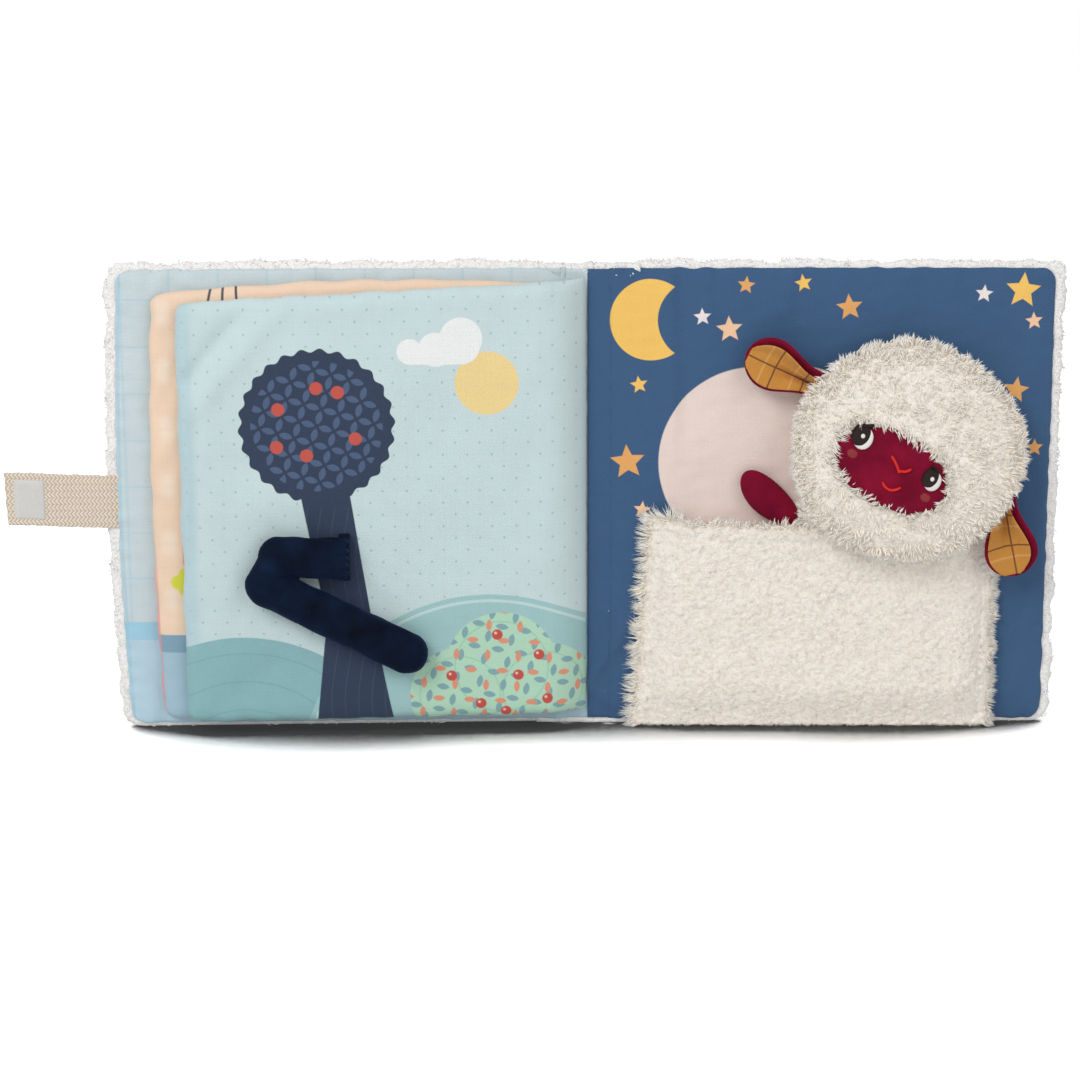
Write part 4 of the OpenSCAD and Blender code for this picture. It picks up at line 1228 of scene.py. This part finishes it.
def pocket_front(x, z, left):
    """Depth of the pocket's face with its pile, in front of the lining."""
    side = smooth(np.minimum(x - left, POCKET_RIGHT - x) / 20 + 0.05)
    foot = smooth(z / 26 + 0.05)
    over_doll = smooth(1 - np.abs(x - HEAD_X + 8) / 75.6)
    return mix(8.0, 15.5, side * foot) + 3.0 * over_doll * foot


def pocket_place(u, v, front):
    """The pocket's cloth, hollow behind, with a seam inside its sides and top."""
    left = POCKET_LEFT + POCKET_LEAN * v + 1.5
    right = POCKET_RIGHT - 1.5
    x = mix(left, right, u)
    top = POCKET_TOP + 2.5 * smooth(1 - u * 4) - 2 * u
    z = POCKET_FOOT + v * (top - POCKET_FOOT)
    depth = pocket_front(x, z, left)
    side_d = np.minimum(x - left, right - x)
    seam = np.exp(-((side_d - 6.0) / 1.2) ** 2) + 0.9 * np.exp(-((top - z - 8) / 1.5) ** 2)
    knobs = 1.25 * curls(x, z, 3.6, 301) + 0.5 * waves(x, z, 22, 302)
    round_off = quarter_round(np.minimum(side_d, np.minimum(z + 2, top + 0.5 - z)) / 4.5)
    face = (depth - 3.2) * mix(0.6, 1, round_off) - seam + knobs * round_off
    wall = np.maximum(depth - 6.0, 0.0) * (v > 0.0) * (u > 0) * (u < 1)
    inner = np.minimum(wall, face - 1.2)
    ragged = 0.8 * waves(x, z, 7, 303)
    x = x + ragged * ((u < 0.02) | (u > 0.98))
    z = np.maximum(z + ragged * (v > 0.985), 0.7) - 1.8 * smooth((v - 0.94) / 0.06) * front
    return x, FACE_Y - np.where(front, face, inner), z


def pocket_edge(x, z, reach=8):
    """1 at the pocket's sides and top, fading within reach."""
    left = POCKET_LEFT + POCKET_LEAN * z / POCKET_TOP
    return smooth(1 - np.minimum(np.minimum(x - left, POCKET_RIGHT - x), 105 - z) / reach)


def pocket_density(at, normals):
    x, z = at[:, 0], at[:, 2]
    fringe = pocket_edge(x, z)
    thick = 0.8 + 2.4 * fringe + 3.0 * smooth((9 - z) / 6)
    return np.where((normals[:, 1] < -0.1) | (fringe > 0.55), thick, 0.0)


def pocket_flow(at, normals):
    x, z = at[:, 0], at[:, 2]
    out = np.zeros_like(at)
    swirl = waves(x, z, 9, 311) * 4
    fringe = pocket_edge(x, z, 24)
    out[:, 0] = 0.8 * np.cos(swirl) + (1.5 * smooth((x - 176) / 16) - 1.5 * smooth((50 - x) / 22)) * fringe
    out[:, 1] = 0.6 * fringe * smooth((50 - x) / 22) - 0.6 * smooth((9 - z) / 6)
    out[:, 2] = 0.8 * np.sin(swirl) - 0.3 + 1.3 * smooth((z - 92) / 9) - 1.2 * smooth((10 - z) / 6)
    return out


def pocket_longer(at):
    x, z = at[:, 0], at[:, 2]
    return 1 + pocket_edge(x, z) * smooth((60 - x) / 20) + 0.55 * pocket_edge(x, z, 16)


cream_pile = pile_material("cream_pile", "#fff3e2", "#fffbf2", 0.7)
cream_backing = backing_material("cream_backing", "#fcf5eb", "#f0e4d6", 1.6)


def held_piece(name, bm, material, node):
    """A piece of the pocket or the doll, which the back cover carries."""
    return piece(name, bm, material, "back_cover", (node,))


def make_pocket():
    wall = pad(150, 90, pocket_place)
    backing = held_piece("pocket_wall", wall, cream_backing, "fleece_pocket")
    pile = grow_pile(
        "pocket_pile_mesh", backing.data, 12500, 3.4, 0.85, pocket_density, pocket_flow, 321,
        limit=floor_limit, longer=pocket_longer,
    )
    pile = enlist("pocket_pile", pile, cream_pile, "back_cover")


make_pocket()

# Doll

BACK_TOP, BACK_LOW = 5.0, 19.1


def head_back(z):
    """Depth of the head's back, which stands further out where the pocket's edge is behind it."""
    return mix(BACK_TOP, BACK_LOW, smooth((POCKET_TOP + 14 - z) / 11))


def head_front(x, z):
    """Depth of the head's front with its pile, in front of the lining."""
    dx, dz = (x - HEAD_X) / (HEAD_W / 2), (z - HEAD_Z) / (HEAD_H / 2)
    r2 = np.minimum(1, dx * dx + dz * dz)
    return 8.0 + mix(BACK_LOW, BACK_TOP, smooth((dz + 1) / 2)) + 17.0 * np.sqrt(1 - r2 * 0.94)


TILT = math.radians(28)
FACE_X, FACE_Z = HEAD_X - 9.7, HEAD_Z - 6


def on_face(a, b):
    """X and Z of a place on the tilted face, a along it and b up it from its middle."""
    return (
        FACE_X + a * math.cos(TILT) + b * math.sin(TILT),
        FACE_Z - a * math.sin(TILT) + b * math.cos(TILT),
    )


def face_share(x, z):
    """Distance from the face's middle, 1 at the edge of its velvet."""
    dx, dz = x - FACE_X, z - FACE_Z
    a = dx * math.cos(TILT) - dz * math.sin(TILT)
    b = dx * math.sin(TILT) + dz * math.cos(TILT)
    return ((np.abs(a) / 26) ** 2.5 + (np.abs(b) / 15.8) ** 2.5) ** 0.4


def head_place(u, v, front):
    p, q = to_disc(u, v)
    turn = np.arctan2(q, p)
    k = 1 + 0.014 * np.sin(turn * 3 + 2.2) + 0.012 * np.sin(turn * 5 + 1)
    x, z = HEAD_X + p * k * (HEAD_W / 2 - 5.0), HEAD_Z + q * k * (HEAD_H / 2 - 6.0)
    reach = np.minimum(1, np.hypot(p, q))
    face = head_front(x, z) - 4.2 - 2.0 * reach ** 6
    knobs = 0.8 * waves(x, z, 18, 401) + 1.4 * curls(x, z, 4.0, 402)
    face = face + knobs * (1 - smooth((1.25 - face_share(x, z)) / 0.3)) * (1 - reach ** 10)
    back = head_back(z) + 0.4 + 1.5 * reach ** 6
    return x, FACE_Y - np.where(front, face, np.minimum(back, face - 2)), z


def head_rim(x, z):
    """Distance from the head's middle, 1 at its rim."""
    return np.hypot((x - HEAD_X) / (HEAD_W / 2 - 5), (z - HEAD_Z) / (HEAD_H / 2 - 6))


def head_density(at, normals):
    x, z = at[:, 0], at[:, 2]
    share = face_share(x, z)
    seen = np.where(normals[:, 1] < 0.25, 0.3, 0.06)
    near_face = 2.2 * np.exp(-((share - 1.12) / 0.06) ** 2)
    return np.where(share < 1.06, 0.0, seen * (1 + 3.6 * smooth((head_rim(x, z) - 0.82) / 0.18)) + near_face)


def head_flow(at, normals):
    """Pile combed away from the face, falling a little, and standing out round the rim."""
    x, z = at[:, 0], at[:, 2]
    share = face_share(x, z)
    away = unit(np.stack([x - FACE_X, np.zeros_like(x), z - FACE_Z], 1))
    near_face = (share < 1.22)[:, None]
    comb = smooth((share - 1.22) / 0.4)[:, None] * 0.55 - 1.0 * near_face
    swirl = waves(x, z, 9, 411) * 4
    out = away * comb + normals * 0.9 * near_face
    out[:, 0] += 0.6 * np.cos(swirl)
    out[:, 2] += 0.6 * np.sin(swirl) - 0.15
    return out


def head_longer(at):
    share = face_share(at[:, 0], at[:, 2])
    return 1 + 0.35 * smooth((head_rim(at[:, 0], at[:, 2]) - 0.8) / 0.2) + 0.5 * smooth((1.24 - share) / 0.08)


burgundy = velvet("burgundy_velvet", "#8b1232", "#6a0a26", "#c85f80", 0.5)


def face_patch_place(a, b, ra, rb, lift, thick, ragged=0.0, dome=0.5):
    """A patch on the face, its middle at a, b and its half sizes ra, rb, from lift to lift + thick."""

    def place(u, v, front):
        p, q = to_disc(u, v)
        reach = np.minimum(1, np.hypot(p, q))
        turn = np.arctan2(q, p)
        k = 1 + ragged * np.sin(turn * 11) * reach ** 4
        x, z = on_face(a + p * k * ra, b + q * k * rb)
        base = head_front(x, z) + lift
        return x, FACE_Y - base - np.where(front, thick * ((1 - dome) + dome * np.sqrt(1 - reach ** 2)), 0), z

    return place


def stitched_line(points, width, lift):
    """A raised line of embroidery along points on the face: a grid wrapped into a tube, with thin ends."""
    bm = bmesh.new()
    steps, sides = 8 * (len(points) - 1), 8
    bmesh.ops.create_grid(bm, x_segments=steps, y_segments=sides, size=0.5)
    u, v = grid_shares(bm)
    spots = np.linspace(0, 1, len(points))

    def reached(share, k):
        return np.interp(np.clip(share, 0, 1), spots, [p[k] for p in points])

    a, b = reached(u, 0), reached(u, 1)
    da, db = (reached(u + 0.04, k) - reached(u - 0.04, k) for k in (0, 1))
    size = np.hypot(da, db)
    taper = np.sqrt(np.clip(1 - np.abs(2 * u - 1) ** 8, 0, 1)) * (1 + 0.16 * np.sin(u * steps * 1.4))
    ring = 2 * math.pi * v
    beside, raised = np.cos(ring) * width / 2 * taper, np.sin(ring) * width * 0.4 * taper
    x, z = on_face(a - db / size * beside, b + da / size * beside)
    move(bm, np.stack([x, FACE_Y - head_front(x, z) - lift - raised, z], 1))
    bmesh.ops.remove_doubles(bm, verts=bm.verts[:], dist=0.01)
    bmesh.ops.recalc_face_normals(bm, faces=bm.faces[:])
    return bm


def joined(meshes):
    """One bmesh of several."""
    whole = bmesh.new()
    for bm in meshes:
        part = bpy.data.meshes.new("part")
        bm.to_mesh(part)
        bm.free()
        whole.from_mesh(part)
        bpy.data.meshes.remove(part)
    return whole


# Lift of what lies on the face's velvet, and of what starts below it, from the head's front
ON_PATCH = 0.55
UNDER_PATCH = ON_PATCH - 2.2


def curved(*points):
    """A smooth line through three points, with its ends in place."""
    (ax, az), (bx, bz), (cx, cz) = points
    bx, bz = 2 * bx - (ax + cx) / 2, 2 * bz - (az + cz) / 2
    return [
        tuple((1 - t) ** 2 * a + 2 * t * (1 - t) * b + t * t * c for a, b, c in ((ax, bx, cx), (az, bz, cz)))
        for t in np.linspace(0, 1, 7)
    ]


# Each eye's place on the face, its size, and three points of its lash
EYES = (
    (-19.8, 7.4, 0.95, ((-2.4, 4.0), (0.6, 5.6), (3.0, 7.2))),
    (17.6, 5.3, 0.85, ((2.2, 4.2), (-0.6, 5.2), (-2.6, 5.6))),
)
CHEEKS = ((-19.6, -1.8), (19.6, -3.6))


def make_face():
    patch = pad(48, 40, face_patch_place(0, 0, 27.8, 17.5, -2.6, 2.6, 0.03, 0.7))
    face = held_piece("face_velvet", patch, burgundy, "doll_face")
    dark = thread_material("eye_thread", "#24110b", "#0b0403", 0.9)
    glint = thread_material("glint_thread", "#fbf9f7", "#e6e0db", 0.3)
    red = thread_material("red_thread", "#ff3a2a", "#c41f1a", 1.2)
    blush = thread_material("cheek_thread", "#a13c3e", "#7c242c", 0.2)
    eyes, lit = [], []
    for a, b, k, lash in EYES:
        white = face_patch_place(a + 1.3, b - 0.6, 4.6 * k, 5.5 * k, UNDER_PATCH, 2.6, 0, 0.3)
        lit.append(pad(14, 14, white))
        oval = face_patch_place(a - 0.3, b + 0.3, 4.4 * k, 5.6 * k, UNDER_PATCH, 3.0, 0, 0.3)
        eyes.append(pad(16, 16, oval))
        eyes.append(stitched_line(curved(*((a + da, b + db) for da, db in lash)), 1.7, ON_PATCH + 0.2))
        lit.append(pad(8, 8, face_patch_place(a + 0.4, b + 0.4, 0.95, 1.05, ON_PATCH + 0.6, 0.9)))
    held_piece("eye_ovals", joined(eyes), dark, "doll_eyes")
    held_piece("eye_lights", joined(lit), glint, "eye_glints")
    nose, smile = (
        [stitched_line(curved(*points), 1.3, ON_PATCH - 0.1) for points in lines_of_thread]
        for lines_of_thread in (
            (((-3.7, 6.2), (0.6, 3.4), (3.4, 0.6)), ((2.2, 1.8), (5.2, 2.6), (7.4, 5.2))),
            (((-1.7, -6.4), (3.1, -8.1), (7.2, -4.5)),),
        )
    )
    held_piece("nose_thread", joined(nose), red, "nose_stitches")
    held_piece("smile_thread", smile[0], red, "smile_stitches")
    cheeks = [pad(10, 10, face_patch_place(a, b, 2.6, 2.2, UNDER_PATCH, 1.9)) for a, b in CHEEKS]
    held_piece("cheek_spots", joined(cheeks), blush, "doll_cheeks")


def ear_place(turn_on_rim, turn, seat, root_depth, lift, thick, inset, rolled, fold):
    """An ear from its root on the head's rim, cupped forward along both sides and rolled over on one side."""
    ear_l, ear_w = 34.0, 25.0
    rx = HEAD_X + (HEAD_W / 2 + seat) * math.cos(math.radians(turn_on_rim))
    rz = HEAD_Z + (HEAD_H / 2 + seat) * math.sin(math.radians(turn_on_rim))
    c, s = math.cos(math.radians(turn)), math.sin(math.radians(turn))

    def place(u, v, front):
        along = mix(inset - 4.5, ear_l - inset, u)
        share = np.clip(along / ear_l, 0, 1)
        half = np.where(
            share < 0.62, mix(ear_w * 0.55, ear_w, smooth(share / 0.62)),
            ear_w * np.sqrt(np.maximum(0.0, 1 - ((share - 0.62) / 0.38) ** 2)),
        ) / 2
        half = np.maximum(half - inset * np.where(share > 0.9, 0.6, 1), 0.6)
        across = 2 * v - 1
        w = across * half
        if inset:
            w = w - rolled * 2.4 * smooth(across * rolled) * smooth(half / 6)
        cup = 3.6 * np.sin(math.pi * np.clip(share, 0.02, 1)) * np.abs(across) ** 2.4
        cup = cup + 2.2 * smooth((across * rolled - 0.3) / 0.7) * smooth(1.3 - share)
        pinch = fold * np.exp(-((across + 0.15 * rolled) / 0.2) ** 2) * smooth(1.25 - share * 1.6)
        rim = np.minimum(1 - np.abs(across), 1 - u) * 8
        soft = 0.45 + 0.55 * quarter_round(rim)
        depth = root_depth + lift + cup - pinch + 0.25 * waves(along, w, 9, 501)
        y = FACE_Y - depth - np.where(front, thick * soft, 0)
        return rx + along * c - w * s, y, rz + along * s + w * c

    return place, (rx, rz, math.radians(turn))


def make_ears():
    for label, turn_on_rim, turn, seat, depth, rolled, fold in (
        ("left", 144.5, 154, -1.5, 6.6, -1, 4.6), ("right", -32.5, -78, -3.0, 16.5, 1, 3.6),
    ):
        back, (rx, rz, angle) = ear_place(turn_on_rim, turn, seat, depth, 0, 2.3, 0, rolled, fold)
        velvet_side = held_piece(
            label + "_ear_velvet", pad(40, 32, back), burgundy, label + "_ear_back")
        lining, _ = ear_place(turn_on_rim, turn, seat, depth, 2.0, 0.9, 1.3, rolled, fold)
        check = ear_cloth(label + "_ear_check", rx, rz, angle)
        held_piece(label + "_ear_cloth", pad(44, 34, lining), check, label + "_ear_lining")


def hand_place(u, v, front):
    """A stuffed mitten, a little bent, narrower at the wrist."""
    p, q = to_disc(u, v)
    turn = math.radians(-42)
    reach = np.minimum(1, np.hypot(p, q))
    a = p * 17.5
    b = q * 8.4 * (1 - 0.08 * p) + 1.4 * (p * p - 0.4)
    x = HEAD_X - 64.0 + a * math.cos(turn) - b * math.sin(turn)
    z = HEAD_Z - 25.9 + a * math.sin(turn) + b * math.cos(turn)
    dome = np.sqrt(np.maximum(0, 1 - reach ** 2.2))
    wrinkle = 0.4 * waves(a, b, 9, 521) * dome
    return x, FACE_Y - np.where(front, 4.5 + 5.2 * dome + wrinkle, 4.4 - 3.4 * dome), z


def body_place(u, v, front):
    """The doll's flat body, nearly all of it behind the head and in the pocket."""
    p, q = to_disc(u, v)
    p, q = mix(p, 2 * u - 1, 0.6), mix(q, 2 * v - 1, 0.6)
    x, z = 142 + p * 42.5, 65 + q * 52
    reach = np.minimum(1, np.hypot(*to_disc(u, v)))
    thick = (0.4 + 0.6 * np.sqrt(1 - reach ** 2)) * mix(7.0, 3.6, smooth((z - 88.6) / 12))
    return x, FACE_Y - np.where(front, 0.7 + thick, 0.6), z


def torso_density(at, normals):
    """Only the shoulder shows, between the hand, the head and the pocket."""
    return smooth((130 - at[:, 0]) / 16) * smooth((at[:, 2] - 92) / 8) * (normals[:, 1] < 0.5)


def torso_flow(at, normals):
    return np.stack([np.full(len(at), -0.9), np.full(len(at), -0.7), np.full(len(at), 0.5)], 1)


def make_doll():
    head = held_piece("head_backing", pad(110, 106, head_place), cream_backing, "doll_head")
    pile = grow_pile(
        "head_pile_mesh", head.data, 6400, 4.4, 0.95, head_density, head_flow, 421, longer=head_longer)
    enlist("head_pile", pile, cream_pile, "back_cover")
    body = held_piece("doll_torso", pad(40, 46, body_place), cream_backing, "doll_body")
    fuzz = grow_pile("torso_pile_mesh", body.data, 1500, 7.0, 0.9, torso_density, torso_flow, 431)
    enlist("torso_pile", fuzz, cream_pile, "back_cover")
    hand = held_piece("velvet_mitten", pad(36, 24, hand_place), burgundy, "doll_hand")
    make_face()
    make_ears()


make_doll()

# Floor and light


def make_stage():
    bm = bmesh.new()
    bmesh.ops.create_circle(bm, cap_ends=True, segments=96, radius=9.0)
    mesh = bpy.data.meshes.new("floor")
    bm.to_mesh(mesh)
    bm.free()
    mesh.materials.append(floor_material("pale_floor"))
    floor = bpy.data.objects.new("floor", mesh)
    scene.collection.objects.link(floor)


def softbox(name, place, target, size, power):
    data = bpy.data.lights.new(name, "AREA")
    data.shape, data.size, data.energy = "DISK", size, power
    lamp = bpy.data.objects.new(name, data)
    lamp.location = place
    way = np.array(target) - np.array(place)
    level = math.hypot(way[0], way[1])
    lamp.rotation_euler = (math.atan2(level, -way[2]), 0, math.atan2(way[1], way[0]) - math.pi / 2)
    scene.collection.objects.link(lamp)


def make_world():
    world = bpy.data.worlds.new("studio")
    scene.world = world
    world.use_nodes = True
    world.node_tree.nodes.clear()
    start = Channel(world.node_tree)
    path = start.node("LightPath")
    seen = path | path.other("Is Glossy Ray") | path.other("Is Transmission Ray")
    light = start.node("Background", {}, {"Color": (1, 1, 1, 1), "Strength": seen * 0.45 + 0.55})
    start.node("OutputWorld", {}, {"Surface": light})


make_stage()
make_world()
softbox("key", (-1.1, -1.7, 1.6), (0, 0, 0.1), 1.2, 24)
softbox("fill", (1.5, -1.8, 0.9), (0, 0, 0.1), 1.6, 8)
